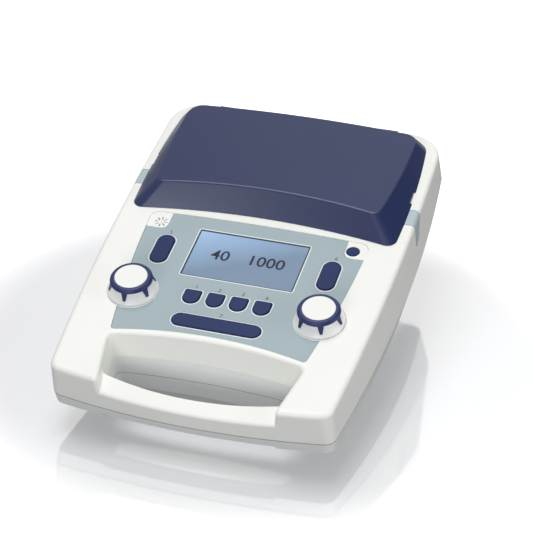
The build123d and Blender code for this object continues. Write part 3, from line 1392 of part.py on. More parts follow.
def make_connector_plate():
    cover = connector_prism(0, -CONNECTOR_THICKNESS, 0)
    for x in JACK_PLACES:
        cover -= rod(x, 0, -OVERRUN, OVERRUN, JACK_BUSHING_RADIUS)
    cover -= rod(INLET_X, 0, -OVERRUN, OVERRUN, INLET_BORE_RADIUS + SOCKET_SLOT_HEIGHT / 2)
    cover -= plate(Pos(SOCKET_X, 0) * Rectangle(SOCKET_WIDTH, SOCKET_HEIGHT), -OVERRUN, OVERRUN)
    return REAR_PLANE * cover


def make_phone_jacks():
    jacks = []
    back = -CONNECTOR_THICKNESS
    bore_foot = JACK_BUSHING_PROUD - JACK_BORE_DEPTH
    for x in JACK_PLACES:
        jack = plate(Pos(x, 0) * Rectangle(JACK_BODY_WIDTH, JACK_BODY_WIDTH), back - JACK_BODY_DEPTH, back)
        jack += rod(x, 0, back, JACK_BUSHING_PROUD, JACK_BUSHING_RADIUS)
        jack -= rod(x, 0, bore_foot, JACK_BUSHING_PROUD + OVERRUN, JACK_BORE_RADIUS)
        jacks.append(REAR_PLANE * jack)
    return jacks


def make_power_inlet():
    back = -CONNECTOR_THICKNESS
    inlet = plate(Pos(INLET_X, 0) * Rectangle(INLET_WIDTH, INLET_WIDTH), back - INLET_DEPTH, back)
    inlet += rod(INLET_X, 0, back, 0, INLET_BORE_RADIUS + SOCKET_SLOT_HEIGHT / 2)
    inlet -= rod(INLET_X, 0, -INLET_BORE_DEPTH, OVERRUN, INLET_BORE_RADIUS)
    inlet += rod(INLET_X, 0, -INLET_BORE_DEPTH, back, INLET_PIN_RADIUS)
    return REAR_PLANE * inlet


def make_data_socket():
    back = -CONNECTOR_THICKNESS
    outline = Pos(SOCKET_X, 0) * Rectangle(SOCKET_WIDTH, SOCKET_HEIGHT)
    body = plate(outline, back - SOCKET_DEPTH, 0)
    slot = Pos(SOCKET_X, 0) * Rectangle(SOCKET_SLOT_WIDTH, SOCKET_SLOT_HEIGHT)
    body -= plate(slot, -SOCKET_SLOT_DEPTH, OVERRUN)
    foot = plate(outline, connector_board_z(), back - SOCKET_DEPTH)
    return REAR_PLANE * (body + foot)


def connector_board_z():
    """Front face of the connector board, against the backs of the jacks."""
    return -CONNECTOR_THICKNESS - JACK_BODY_DEPTH


def make_connector_board():
    face = connector_board_z()
    outline = Rectangle(CONNECTOR_WIDTH - 2 * CONNECTOR_BOARD_MARGIN_X, CONNECTOR_BOARD_HEIGHT)
    return REAR_PLANE * plate(outline, face - BOARD_THICKNESS, face)


def make_ribbon():
    """Flat cable from the main board's socket, down in front of the bin and under it to the rear board."""
    board_back = connector_board_z() - BOARD_THICKNESS
    board_point = REAR_PLANE.from_local_coords((0, 0, board_back))
    approach = REAR_PLANE.from_local_coords((0, 0, board_back - RIBBON_LEAD))
    start_y = BOARD_REAR_Y - BOARD_SOCKET_WIDTH
    start_z = BOARD_TOP_Z - BOARD_THICKNESS - BOARD_SOCKET_HEIGHT
    drop_y = (BOARD_REAR_Y + BIN_FRONT_Y) / 2
    under_z = BIN_FLOOR_Z - RIBBON_UNDER_GAP
    path = FilletPolyline(
        (start_y, start_z),
        (start_y, start_z - RIBBON_DROP),
        (drop_y, start_z - RIBBON_DROP - RIBBON_STEP),
        (drop_y, under_z),
        (approach.Y, approach.Z),
        (board_point.Y, board_point.Z),
        radius=RIBBON_BEND_RADIUS,
    )
    strip = trace(path, RIBBON_THICKNESS)
    return extrude(Plane.YZ.offset(RIBBON_X - RIBBON_WIDTH / 2) * strip, amount=RIBBON_WIDTH)


# Assembly


def build_parts():
    keys = key_table()
    outer = upper_block(0)
    skin = outer - upper_block(LATCH_THICKNESS)
    right_latch = make_latch(skin)
    parts = {
        "upper_shell": make_upper_shell(outer),
        "lower_shell": make_lower_shell(outer),
        "storage_bin": make_storage_bin(),
        "lid": make_lid(),
        "lid_hinge_pins": make_hinge_pins(),
        "right_latch": right_latch,
        "left_latch": mirror(right_latch, about=Plane.YZ),
        "latch_pins": both_sides(make_latch_pin()),
        "control_panel": make_control_panel(keys),
        "microphone_grille": make_microphone_grille(),
        "power_key_bezel": make_power_bezel(),
        "microphone_capsule": make_microphone(),
        "display_window": make_window(),
        "display_gasket": make_gasket(),
        "display_module": make_module(),
        "display_spacers": make_spacers(),
        "main_board": make_main_board(),
        "board_screws": make_board_screws(),
        "key_mat": make_key_mat(keys),
        "case_screws": make_case_screws(),
        "rubber_feet": make_feet(),
        "connector_plate": make_connector_plate(),
        "phone_jacks": make_phone_jacks(),
        "power_inlet": make_power_inlet(),
        "data_socket": make_data_socket(),
        "connector_board": make_connector_board(),
        "ribbon_cable": make_ribbon(),
    }
    for name, (outline, places) in keys.items():
        parts[name] = make_key(outline, places)
    skirt = make_knob_skirt()
    grip = make_knob_grip()
    cap = make_knob_cap()
    for side, x in (("left", -KNOB_X), ("right", KNOB_X)):
        place = Pos(x, KNOB_Y, 0)
        parts[f"{side}_knob_base"] = place * make_knob_base()
        parts[f"{side}_knob_skirt"] = place * skirt
        parts[f"{side}_knob_grip"] = place * Rot(0, 0, KNOB_TURNS[side]) * grip
        parts[f"{side}_knob_cap"] = place * cap
        parts[f"{side}_encoder"] = place * make_encoder()
        parts[f"{side}_encoder_shaft"] = place * make_encoder_shaft()
        parts[f"{side}_encoder_nut"] = place * make_encoder_nut()
    return parts


def stand_on_table(parts):
    """Tilt every piece with the deck, and put the origin under the middle of the whole part."""
    tilted = {}
    for name, piece in parts.items():
        solids = piece if isinstance(piece, list) else [piece]
        tilted[name] = Compound([DECK_TO_TABLE * solid for item in solids for solid in item.solids()])
    whole = Compound(list(tilted.values())).bounding_box()
    shift = Pos(0, -(whole.min.Y + whole.max.Y) / 2, 0)
    return {name: shift * piece for name, piece in tilted.items()}


os.makedirs("parts", exist_ok=True)
PARTS = stand_on_table(build_parts())
for part_name, part_solid in PARTS.items():
    export_step(part_solid, f"parts/{part_name}.step")
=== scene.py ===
import json
from math import asin, cos, radians, sin

import bmesh
import bpy
from mathutils import Matrix, Vector


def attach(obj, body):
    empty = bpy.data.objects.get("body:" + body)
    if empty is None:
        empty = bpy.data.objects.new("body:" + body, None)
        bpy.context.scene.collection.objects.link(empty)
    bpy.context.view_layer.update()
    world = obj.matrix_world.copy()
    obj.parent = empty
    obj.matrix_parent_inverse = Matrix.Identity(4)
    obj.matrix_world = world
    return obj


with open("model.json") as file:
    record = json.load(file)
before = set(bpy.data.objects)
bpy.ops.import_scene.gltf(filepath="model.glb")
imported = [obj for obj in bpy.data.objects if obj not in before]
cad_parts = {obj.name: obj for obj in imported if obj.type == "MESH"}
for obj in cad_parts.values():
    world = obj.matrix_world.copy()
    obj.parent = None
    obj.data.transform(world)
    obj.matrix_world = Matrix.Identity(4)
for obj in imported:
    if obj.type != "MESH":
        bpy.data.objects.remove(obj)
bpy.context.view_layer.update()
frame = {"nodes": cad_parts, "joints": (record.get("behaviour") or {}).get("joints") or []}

# The deck frame: X to the right, Y back along the deck, Z out of the deck, in millimetres,
# with zero on the control panel's top face. It is found from the right knob's joint, which
# stands at a known place along the deck.
MM = 0.001
KNOB_Y = 4.4
KNOB = next(joint for joint in frame["joints"] if joint["name"] == "right_knob_turn")
TILT = -asin(KNOB["axis"][1])
ALONG = Vector((0, cos(TILT), sin(TILT)))
ORIGIN = Vector((0, KNOB["pos_m"][1], KNOB["pos_m"][2])) - ALONG * KNOB_Y * MM
DECK = Matrix.Translation(ORIGIN) @ Matrix.Rotation(TILT, 4, "X") @ Matrix.Scale(MM, 4)


# Node helpers

# Display colour to linear light
COLOUR_STEPS = 255
KNEE = 0.04045
KNEE_SLOPE = 12.92
CURVE_OFFSET = 0.055
CURVE_POWER = 2.4
OPAQUE = (1.0,)
WHITE_LIGHT = (1.0, 1.0, 1.0, 1.0)

# A noise's usual roughness, and the part of its range that a colour or a value is spread over
NOISE_ROUGH = 0.5
COLOUR_FROM = 0.35
COLOUR_TO = 0.65
VALUE_FROM = 0.3
VALUE_TO = 0.7


def linear(rgb):
    """Display colour, 0 to 255, to linear light."""
    out = []
    for value in rgb:
        share = value / COLOUR_STEPS
        if share <= KNEE:
            out.append(share / KNEE_SLOPE)
        else:
            out.append(((share + CURVE_OFFSET) / (1 + CURVE_OFFSET)) ** CURVE_POWER)
    return (*out, *OPAQUE)


def new_material(name):
    material = bpy.data.materials.new(name)
    material.use_nodes = True
    nodes = material.node_tree.nodes
    nodes.clear()
    out = nodes.new("ShaderNodeOutputMaterial")
    shader = nodes.new("ShaderNodeBsdfPrincipled")
    material.node_tree.links.new(shader.outputs[0], out.inputs[0])
    return material, nodes, material.node_tree.links, shader


def noise(nodes, links, coords, scale, detail, rough=NOISE_ROUGH):
    node = nodes.new("ShaderNodeTexNoise")
    node.inputs["Scale"].default_value = scale
    node.inputs["Detail"].default_value = detail
    node.inputs["Roughness"].default_value = rough
    links.new(coords.outputs["Object"], node.inputs["Vector"])
    return node


def colour_spread(nodes, links, source, low, high, low_at=COLOUR_FROM, high_at=COLOUR_TO):
    ramp = nodes.new("ShaderNodeValToRGB")
    ramp.color_ramp.elements[0].position = low_at
    ramp.color_ramp.elements[1].position = high_at
    ramp.color_ramp.elements[0].color = low
    ramp.color_ramp.elements[1].color = high
    links.new(source, ramp.inputs[0])
    return ramp


def value_spread(nodes, links, source, low, high):
    spread = nodes.new("ShaderNodeMapRange")
    spread.inputs["From Min"].default_value = VALUE_FROM
    spread.inputs["From Max"].default_value = VALUE_TO
    spread.inputs["To Min"].default_value = low
    spread.inputs["To Max"].default_value = high
    links.new(source, spread.inputs["Value"])
    return spread


def smooth_rise(nodes, links, source, start, end, low, high):
    """Value that goes smoothly from low at the start to high at the end."""
    rise = nodes.new("ShaderNodeMapRange")
    rise.interpolation_type = "SMOOTHSTEP"
    rise.inputs["From Min"].default_value = start
    rise.inputs["From Max"].default_value = end
    rise.inputs["To Min"].default_value = low
    rise.inputs["To Max"].default_value = high
    links.new(source, rise.inputs["Value"])
    return rise.outputs[0]


def calculate(nodes, links, operation, first, second, clamp=False):
    """Result of one operation on two values, each a socket or a number."""
    node = nodes.new("ShaderNodeMath")
    node.operation = operation
    node.use_clamp = clamp
    for socket, value in zip(node.inputs, (first, second)):
        if isinstance(value, bpy.types.NodeSocket):
            links.new(value, socket)
        else:
            socket.default_value = value
    return node.outputs[0]


def add_bump(nodes, links, shader, source, strength, height_mm):
    bump = nodes.new("ShaderNodeBump")
    bump.inputs["Strength"].default_value = strength
    bump.inputs["Distance"].default_value = height_mm * MM
    links.new(source, bump.inputs["Height"])
    links.new(bump.outputs[0], shader.inputs["Normal"])


# Moulded plastic: slow drift of colour, smudges in the gloss, fine grain
DRIFT_SCALE = 9.0
DRIFT_DETAIL = 3.0
SMUDGE_SCALE = 55.0
SMUDGE_DETAIL = 4.0
SMUDGE_ROUGH = 0.6
SMUDGE_SPREAD = 0.06
GRAIN_DETAIL = 2.0
GRAIN_ROUGH = 0.55
GRAIN_BUMP = 0.6
COAT_ROUGH = 0.15


def plastic(name, rgb, rough, grain, height, spread, gloss, smudges=SMUDGE_SPREAD):
    """Moulded plastic. Grain and height are the size and depth of its texture in millimetres.

    Spread is how far the colour drifts, and smudges how far the roughness does.
    """
    material, nodes, links, shader = new_material(name)
    coords = nodes.new("ShaderNodeTexCoord")
    drift = noise(nodes, links, coords, DRIFT_SCALE, DRIFT_DETAIL)
    base = linear(rgb)
    low = tuple(max(0.0, c * (1 - spread)) for c in base[:3]) + OPAQUE
    high = tuple(min(1.0, c * (1 + spread)) for c in base[:3]) + OPAQUE
    ramp = colour_spread(nodes, links, drift.outputs["Fac"], low, high)
    links.new(ramp.outputs[0], shader.inputs["Base Color"])
    smudge = noise(nodes, links, coords, SMUDGE_SCALE, SMUDGE_DETAIL, SMUDGE_ROUGH)
    roughness = value_spread(nodes, links, smudge.outputs["Fac"], rough - smudges, rough + smudges)
    links.new(roughness.outputs[0], shader.inputs["Roughness"])
    texture = noise(nodes, links, coords, 1 / (grain * MM), GRAIN_DETAIL, GRAIN_ROUGH)
    add_bump(nodes, links, shader, texture.outputs["Fac"], GRAIN_BUMP, height)
    shader.inputs["Specular IOR Level"].default_value = gloss
    shader.inputs["Coat Roughness"].default_value = COAT_ROUGH
    return material


# Drawn or turned metal: fine lines in the colour, the gloss and the surface
LINE_WIDTH_MM = 0.2
LINE_STRETCH = 12.0
LINE_DARK = 0.85
LINE_SMOOTH = 0.8
LINE_ROUGH = 1.25
LINE_BUMP = 0.4
LINE_DEPTH_MM = 0.01


def metal(name, rgb, rough):
    """Metal with fine lines."""
    material, nodes, links, shader = new_material(name)
    coords = nodes.new("ShaderNodeTexCoord")
    stretch = nodes.new("ShaderNodeMapping")
    stretch.inputs["Scale"].default_value = (1.0, LINE_STRETCH, 1.0)
    links.new(coords.outputs["Object"], stretch.inputs["Vector"])
    lines = nodes.new("ShaderNodeTexNoise")
    lines.inputs["Scale"].default_value = 1 / (LINE_WIDTH_MM * MM) / LINE_STRETCH
    links.new(stretch.outputs[0], lines.inputs["Vector"])
    base = linear(rgb)
    low = tuple(c * LINE_DARK for c in base[:3]) + OPAQUE
    ramp = colour_spread(nodes, links, lines.outputs["Fac"], low, base)
    links.new(ramp.outputs[0], shader.inputs["Base Color"])
    roughness = value_spread(nodes, links, lines.outputs["Fac"], rough * LINE_SMOOTH, rough * LINE_ROUGH)
    links.new(roughness.outputs[0], shader.inputs["Roughness"])
    shader.inputs["Metallic"].default_value = 1.0
    add_bump(nodes, links, shader, lines.outputs["Fac"], LINE_BUMP, LINE_DEPTH_MM)
    return material


# Clear acrylic with a trace of haze
HAZE_SCALE = 40.0
HAZE_DETAIL = 4.0
HAZE_SMOOTH = 0.02
HAZE_ROUGH = 0.07
HAZE_LOW = (250, 252, 255)
HAZE_HIGH = (255, 255, 255)
ACRYLIC_IOR = 1.35


def glass(name):
    """Clear acrylic."""
    material, nodes, links, shader = new_material(name)
    coords = nodes.new("ShaderNodeTexCoord")
    haze = noise(nodes, links, coords, HAZE_SCALE, HAZE_DETAIL)
    roughness = value_spread(nodes, links, haze.outputs["Fac"], HAZE_SMOOTH, HAZE_ROUGH)
    links.new(roughness.outputs[0], shader.inputs["Roughness"])
    tint = colour_spread(nodes, links, haze.outputs["Fac"], linear(HAZE_LOW), linear(HAZE_HIGH))
    links.new(tint.outputs[0], shader.inputs["Base Color"])
    shader.inputs["Transmission Weight"].default_value = 1.0
    shader.inputs["IOR"].default_value = ACRYLIC_IOR
    return material


# Backlit display: brighter to the left and to the rear, with a very faint grid of dots
SCREEN_FADE = (-0.45, 0.55, 0.0)
SCREEN_FADE_FROM = 0.0
SCREEN_FADE_TO = 0.55
DOT_MM = 0.4
DOT_DETAIL = 1.0
DOT_DARK = 0.97
DOT_BRIGHT = 1.03
SCREEN_BLACK = 0.9
SCREEN_ROUGH = 0.4


def lit_display(name, low_rgb, high_rgb, strength):
    """Lit screen whose own surface is nearly black."""
    material, nodes, links, shader = new_material(name)
    coords = nodes.new("ShaderNodeTexCoord")
    fade = nodes.new("ShaderNodeVectorMath")
    fade.operation = "DOT_PRODUCT"
    fade.inputs[1].default_value = SCREEN_FADE
    links.new(coords.outputs["Generated"], fade.inputs[0])
    ramp = colour_spread(
        nodes, links, fade.outputs["Value"], linear(low_rgb), linear(high_rgb),
        SCREEN_FADE_FROM, SCREEN_FADE_TO,
    )
    grid = noise(nodes, links, coords, 1 / (DOT_MM * MM), DOT_DETAIL)
    level = value_spread(nodes, links, grid.outputs["Fac"], DOT_DARK, DOT_BRIGHT)
    mix = nodes.new("ShaderNodeMix")
    mix.data_type = "RGBA"
    mix.blend_type = "MULTIPLY"
    mix.inputs["Factor"].default_value = 1.0
    links.new(ramp.outputs[0], mix.inputs["A"])
    links.new(level.outputs[0], mix.inputs["B"])
    links.new(mix.outputs["Result"], shader.inputs["Emission Color"])
    dim = nodes.new("ShaderNodeMix")
    dim.data_type = "RGBA"
    dim.inputs["Factor"].default_value = SCREEN_BLACK
    dim.inputs["B"].default_value = linear((0, 0, 0))
    links.new(mix.outputs["Result"], dim.inputs["A"])
    links.new(dim.outputs["Result"], shader.inputs["Base Color"])
    shader.inputs["Emission Strength"].default_value = strength
    shader.inputs["Roughness"].default_value = SCREEN_ROUGH
    return material


# Materials of the nodes and of the pieces drawn on them

WHITE = plastic(
    "shell_white", (240, 241, 236), rough=0.38, grain=0.5, height=0.006, spread=0.012, gloss=0.35,
)
TRAY = plastic(
    "tray_white", (230, 232, 231), rough=0.40, grain=0.5, height=0.006, spread=0.015, gloss=0.35,
)
PANEL = plastic(
    "panel_grey_blue", (162, 178, 183), rough=0.42, grain=0.3, height=0.005, spread=0.02, gloss=0.25,
)
NAVY = plastic(
    "key_navy", (22, 41, 88), rough=0.42, grain=0.4, height=0.008, spread=0.05, gloss=0.25,
)
NAVY_LID = plastic(
    "lid_navy", (35, 46, 86), rough=0.30, grain=0.45, height=0.006, spread=0.03, gloss=0.45, smudges=0.02,
)
NAVY_GRIP = plastic(
    "grip_navy", (38, 48, 96), rough=0.40, grain=0.4, height=0.006, spread=0.05, gloss=0.35,
)
LATCH = plastic(
    "latch_grey_blue", (178, 194, 198), rough=0.38, grain=0.4, height=0.005, spread=0.02, gloss=0.45,
)
SKIRT = plastic(
    "skirt_pale", (232, 232, 232), rough=0.30, grain=0.4, height=0.003, spread=0.015, gloss=0.5,
)
CAP = plastic(
    "cap_white", (238, 239, 235), rough=0.36, grain=0.4, height=0.003, spread=0.01, gloss=0.45,
)
LINER = plastic(
    "liner_grey", (150, 157, 162), rough=0.55, grain=0.5, height=0.02, spread=0.04, gloss=0.3,
)
DARK = plastic(
    "dark_plastic", (34, 35, 38), rough=0.5, grain=0.35, height=0.008, spread=0.08, gloss=0.35,
)
RUBBER = plastic(
    "rubber_dark", (42, 42, 44), rough=0.75, grain=0.5, height=0.02, spread=0.08, gloss=0.25,
)
MAT_GREY = plastic(
    "key_mat_grey", (196, 196, 190), rough=0.65, grain=0.5, height=0.01, spread=0.03, gloss=0.3,
)
BOARD = plastic(
    "board_green", (24, 92, 52), rough=0.35, grain=0.8, height=0.02, spread=0.12, gloss=0.5,
)
RIBBON = plastic(
    "ribbon_grey", (150, 152, 156), rough=0.5, grain=0.6, height=0.01, spread=0.05, gloss=0.4,
)
STEEL = metal("bright_steel", (200, 202, 205), rough=0.28)
DARK_STEEL = metal("mesh_dark_steel", (60, 60, 62), rough=0.45)
PRINT_WHITE = plastic(
    "print_white", (242, 244, 244), rough=0.45, grain=0.3, height=0.002, spread=0.01, gloss=0.4,
)
# Painted shade for the gap where the two mouldings meet
SEAM_SHADE = plastic(
    "seam_shadow", (120, 122, 122), rough=0.6, grain=0.3, height=0.004, spread=0.04, gloss=0.2,
)
PRINT_DARK = plastic(
    "print_dark", (58, 70, 84), rough=0.5, grain=0.3, height=0.002, spread=0.03, gloss=0.3,
)
DISPLAY_INK = plastic(
    "display_ink", (14, 26, 62), rough=0.5, grain=0.3, height=0.001, spread=0.04, gloss=0.2,
)
DISPLAY_EDGE = plastic(
    "display_edge", (22, 28, 44), rough=0.45, grain=0.3, height=0.002, spread=0.05, gloss=0.3,
)
SCREEN = lit_display("screen_blue", (118, 142, 170), (166, 200, 238), strength=0.86)
CLEAR = glass("window_clear")

NODE_MATERIALS = {
    "upper_shell": WHITE,
    "lower_shell": TRAY,
    "storage_bin": LINER,
    "lid": NAVY_LID,
    "control_panel": PANEL,
    "microphone_grille": WHITE,
    "power_key_bezel": WHITE,
    "microphone_capsule": DARK_STEEL,
    "display_window": CLEAR,
    "display_gasket": RUBBER,
    "display_module": DARK,
    "display_spacers": STEEL,
    "main_board": BOARD,
    "connector_board": BOARD,
    "key_mat": MAT_GREY,
    "rubber_feet": RUBBER,
    "connector_plate": DARK,
    "phone_jacks": DARK,
    "power_inlet": DARK,
    "data_socket": STEEL,
    "ribbon_cable": RIBBON,
}
ENDING_MATERIALS = {
    "_key": NAVY,
    "_knob_skirt": SKIRT,
    "_knob_grip": NAVY_GRIP,
    "_knob_cap": CAP,
    "_knob_base": SKIRT,
    "_latch": LATCH,
}


def material_for(node):
    if node in NODE_MATERIALS:
        return NODE_MATERIALS[node]
    if node.startswith("function_key"):
        return NAVY
    for ending, material in ENDING_MATERIALS.items():
        if node.endswith(ending):
            return material
    return STEEL


for node_name, node_object in frame["nodes"].items():
    chosen = material_for(node_name)
    if not node_object.data.materials:
        node_object.data.materials.append(chosen)
    for slot in node_object.material_slots:
        slot.material = chosen


# Pieces drawn on the deck

ARC_POINTS = 13
QUARTER = 90
HALF_TURN = 2 * QUARTER


def new_piece(name, mesh, material):
    mesh.materials.append(material)
    piece = bpy.data.objects.new(name, mesh)
    bpy.context.scene.collection.objects.link(piece)
    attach(piece, "housing")


def deck_mesh(name, points, faces):
    """Closed mesh from points in the deck frame."""
    mesh = bpy.data.meshes.new(name)
    mesh.from_pydata([DECK @ Vector(point) for point in points], [], faces)
    mesh.update()
    return mesh


def ring_faces(rows, count):
    """Faces of a closed tube of rows, each a closed line of points."""
    faces = []
    for row in range(rows):
        start = row * count
        beside = (row + 1) % rows * count
        for i in range(count):
            j = (i + 1) % count
            faces.append((start + i, start + j, beside + j, beside + i))
    return faces


def arc(cx, cy, radius, start, end, count):
    """Points on an arc, angles in degrees."""
    step = (end - start) / (count - 1)
    angles = [radians(start + step * i) for i in range(count)]
    return [(cx + radius * cos(angle), cy + radius * sin(angle)) for angle in angles]


def slot_points(cx, cy, length, width, upright, grow):
    """Two half circles with straight sides between them."""
    radius = width / 2 + grow
    reach = (length - width) / 2
    if upright:
        ends = ((cx, cy + reach, 0), (cx, cy - reach, HALF_TURN))
    else:
        ends = ((cx + reach, cy, -QUARTER), (cx - reach, cy, QUARTER))
    points = []
    for x, y, start in ends:
        points += arc(x, y, radius, start, start + HALF_TURN, 2 * ARC_POINTS)
    return points


def rectangle_points(x0, y0, x1, y1, corner, grow):
    """Rectangle with round corners."""
    right = x1 - corner
    left = x0 + corner
    rear = y1 - corner
    front = y0 + corner
    points = []
    for turn, (x, y) in enumerate(((right, rear), (left, rear), (left, front), (right, front))):
        points += arc(x, y, corner + grow, turn * QUARTER, (turn + 1) * QUARTER, ARC_POINTS)
    return points


# Cross-section of a printed bead: share of its width and share of its height
BEAD = ((0.0, 0.0), (0.12, 0.7), (0.3, 1.0), (0.7, 1.0), (0.88, 0.7), (1.0, 0.0))


def bead_ring(name, outline, inner, width, height, foot_z, material):
    """Low rounded bead that follows an outline. Outline is a function of how far it is grown."""
    points = []
    for share, rise in BEAD:
        points += [(x, y, foot_z + rise * height) for x, y in outline(inner + share * width)]
    mesh = deck_mesh(name, points, ring_faces(len(BEAD), len(points) // len(BEAD)))
    for polygon in mesh.polygons:
        polygon.use_smooth = True
    new_piece(name, mesh, material)


def plate(name, outline, low_z, high_z, material):
    """Thin closed plate under an outline of points."""
    count = len(outline)
    points = [(x, y, high_z) for x, y in outline] + [(x, y, low_z) for x, y in outline]
    faces = [tuple(range(count)), tuple(range(2 * count - 1, count - 1, -1))]
    faces += [(i, count + i, count + (i + 1) % count, (i + 1) % count) for i in range(count)]
    new_piece(name, deck_mesh(name, points, faces), material)


PRINT_HEIGHT = 0.04


def label(name, text, x, y, size, z, material, bold=0.0):
    """Plain figures in raised print."""
    curve = bpy.data.curves.new(name, "FONT")
    curve.body = text
    curve.size = size
    curve.align_x = "CENTER"
    curve.align_y = "CENTER"
    curve.extrude = PRINT_HEIGHT / 2
    curve.offset = bold
    maker = bpy.data.objects.new(name + "_maker", curve)
    bpy.context.scene.collection.objects.link(maker)
    bpy.context.view_layer.update()
    mesh = bpy.data.meshes.new_from_object(maker.evaluated_get(bpy.context.evaluated_depsgraph_get()))
    bpy.data.objects.remove(maker)
    mesh.name = name
    mesh.materials.clear()
    mesh.transform(DECK @ Matrix.Translation((x, y, z + PRINT_HEIGHT / 2)))
    new_piece(name, mesh, material)


# White outlines round the keys, and the numbers beside them
OUTLINE_START = 0.45
OUTLINE_WIDTH = 0.95
OUTLINE_HEIGHT = 0.16
NUMBER_SIZE = 5.4
FUNCTION_KEYS = 4
FUNCTION_PITCH = 19.57
FUNCTION_Y = 8.0
FUNCTION_HALF = 6.9
FUNCTION_ABOVE = 7.1
FUNCTION_BELOW = 7.9
FUNCTION_CORNER = 1.6
FUNCTION_NUMBER_RIGHT = 0.6
FUNCTION_NUMBER_ABOVE = 4.4
OVAL_X = 70.9
OVAL_Y = 55.5
OVAL_LENGTH = 33.4
OVAL_WIDTH = 14.6
OVAL_NUMBER_RIGHT = 0.5
OVAL_NUMBER_ABOVE = 4.2
TONE_Y = -18.6
TONE_LENGTH = 73.5
TONE_WIDTH = 13.6
TONE_NUMBER_RIGHT = 0.5
TONE_NUMBER_ABOVE = 3.9


def function_points(cx, grow):
    """Flat top with small corners and a round foot, as the key has."""
    corner = FUNCTION_CORNER
    top = FUNCTION_Y + FUNCTION_ABOVE - corner
    waist = FUNCTION_Y + FUNCTION_HALF - FUNCTION_BELOW
    return (
        arc(cx + FUNCTION_HALF - corner, top, corner + grow, 0, QUARTER, ARC_POINTS)
        + arc(cx - FUNCTION_HALF + corner, top, corner + grow, QUARTER, HALF_TURN, ARC_POINTS)
        + arc(cx, waist, FUNCTION_HALF + grow, HALF_TURN, 2 * HALF_TURN, 2 * ARC_POINTS)
    )


def key_outline(name, outline):
    bead_ring(name, outline, OUTLINE_START, OUTLINE_WIDTH, OUTLINE_HEIGHT, 0.0, PRINT_WHITE)


def key_number(name, text, x, y):
    label(name, text, x, y, NUMBER_SIZE, 0.0, PRINT_DARK)


function_number_y = FUNCTION_Y + FUNCTION_ABOVE + FUNCTION_NUMBER_ABOVE
for index in range(FUNCTION_KEYS):
    number = index + 1
    centre = (index - (FUNCTION_KEYS - 1) / 2) * FUNCTION_PITCH
    key_outline(f"function_key_{number}_outline", lambda grow, cx=centre: function_points(cx, grow))
    key_number(
        f"function_key_{number}_number", str(number), centre + FUNCTION_NUMBER_RIGHT, function_number_y,
    )

for side, x in (("left", -OVAL_X), ("right", OVAL_X)):
    key_outline(
        f"{side}_oval_key_outline",
        lambda grow, cx=x: slot_points(cx, OVAL_Y, OVAL_LENGTH, OVAL_WIDTH, True, grow),
    )
key_outline("tone_key_outline", lambda grow: slot_points(0, TONE_Y, TONE_LENGTH, TONE_WIDTH, False, grow))

oval_number_y = OVAL_Y + OVAL_LENGTH / 2 + OVAL_NUMBER_ABOVE
tone_number_y = TONE_Y + TONE_WIDTH / 2 + TONE_NUMBER_ABOVE
key_number("left_oval_key_number", "5", -OVAL_X + OVAL_NUMBER_RIGHT, oval_number_y)
key_number("right_oval_key_number", "6", OVAL_X + OVAL_NUMBER_RIGHT, oval_number_y)
key_number("tone_key_number", "7", TONE_NUMBER_RIGHT, tone_number_y)

# Outline of the window, and the lit image, its dark border and its figures, laminated into it
WINDOW = (-47.3, 31.1, 47.3, 85.5)
WINDOW_CORNER = 1.0
WINDOW_OUTLINE_START = 0.2
WINDOW_OUTLINE_WIDTH = 0.9
WINDOW_OUTLINE_HEIGHT = 0.12
SCREEN_Z = -0.95
SCREEN_INSET = 0.25
SCREEN_THICKNESS = 0.03
BORDER_START = -1.05
BORDER_WIDTH = 0.85
BORDER_HEIGHT = 0.05
LEVEL_X = -22.0
TONE_X = 17.0
FIGURES_Y = 59.0
FIGURES_SIZE = 16.0
FIGURES_BOLD = 0.15


def window_points(grow):
    return rectangle_points(*WINDOW, WINDOW_CORNER, grow)


bead_ring(
    "window_outline", window_points,
    WINDOW_OUTLINE_START, WINDOW_OUTLINE_WIDTH, WINDOW_OUTLINE_HEIGHT, 0.0, PRINT_WHITE,
)
plate("display_image", window_points(-SCREEN_INSET), SCREEN_Z - SCREEN_THICKNESS, SCREEN_Z, SCREEN)
bead_ring(
    "display_border", window_points, BORDER_START, BORDER_WIDTH, BORDER_HEIGHT, SCREEN_Z, DISPLAY_EDGE,
)
for name, text, x in (("display_level", "40", LEVEL_X), ("display_tone", "1000", TONE_X)):
    label(name, text, x, FIGURES_Y, FIGURES_SIZE, SCREEN_Z, DISPLAY_INK, FIGURES_BOLD)

# The seam between the two mouldings. They meet in a plane that slopes along the deck.
SEAM_FRONT_Y = -101.7
SEAM_FRONT_Z = -28.0
SEAM_REAR_Y = 286.5
SEAM_REAR_Z = -72.4
SEAM_SLOPE = (SEAM_REAR_Z - SEAM_FRONT_Z) / (SEAM_REAR_Y - SEAM_FRONT_Y)
SEAM_DROP = 1.0
SEAM_HALF = 0.22
SEAM_OUT = 0.03
SEAM_IN = 0.25
SEAM_SECTION = (
    (SEAM_OUT, SEAM_HALF), (SEAM_OUT, -SEAM_HALF), (-SEAM_IN, -SEAM_HALF), (-SEAM_IN, SEAM_HALF),
)
OUTSIDE_HALF_WIDTH = 124.0
OPENING_HALF_WIDTH = 65.0
MERGE_DISTANCE = 0.001


def seam_z(y):
    """Height of the seam's middle, just under the plane that the mouldings meet in."""
    return SEAM_FRONT_Z - SEAM_DROP + (y - SEAM_FRONT_Y) * SEAM_SLOPE


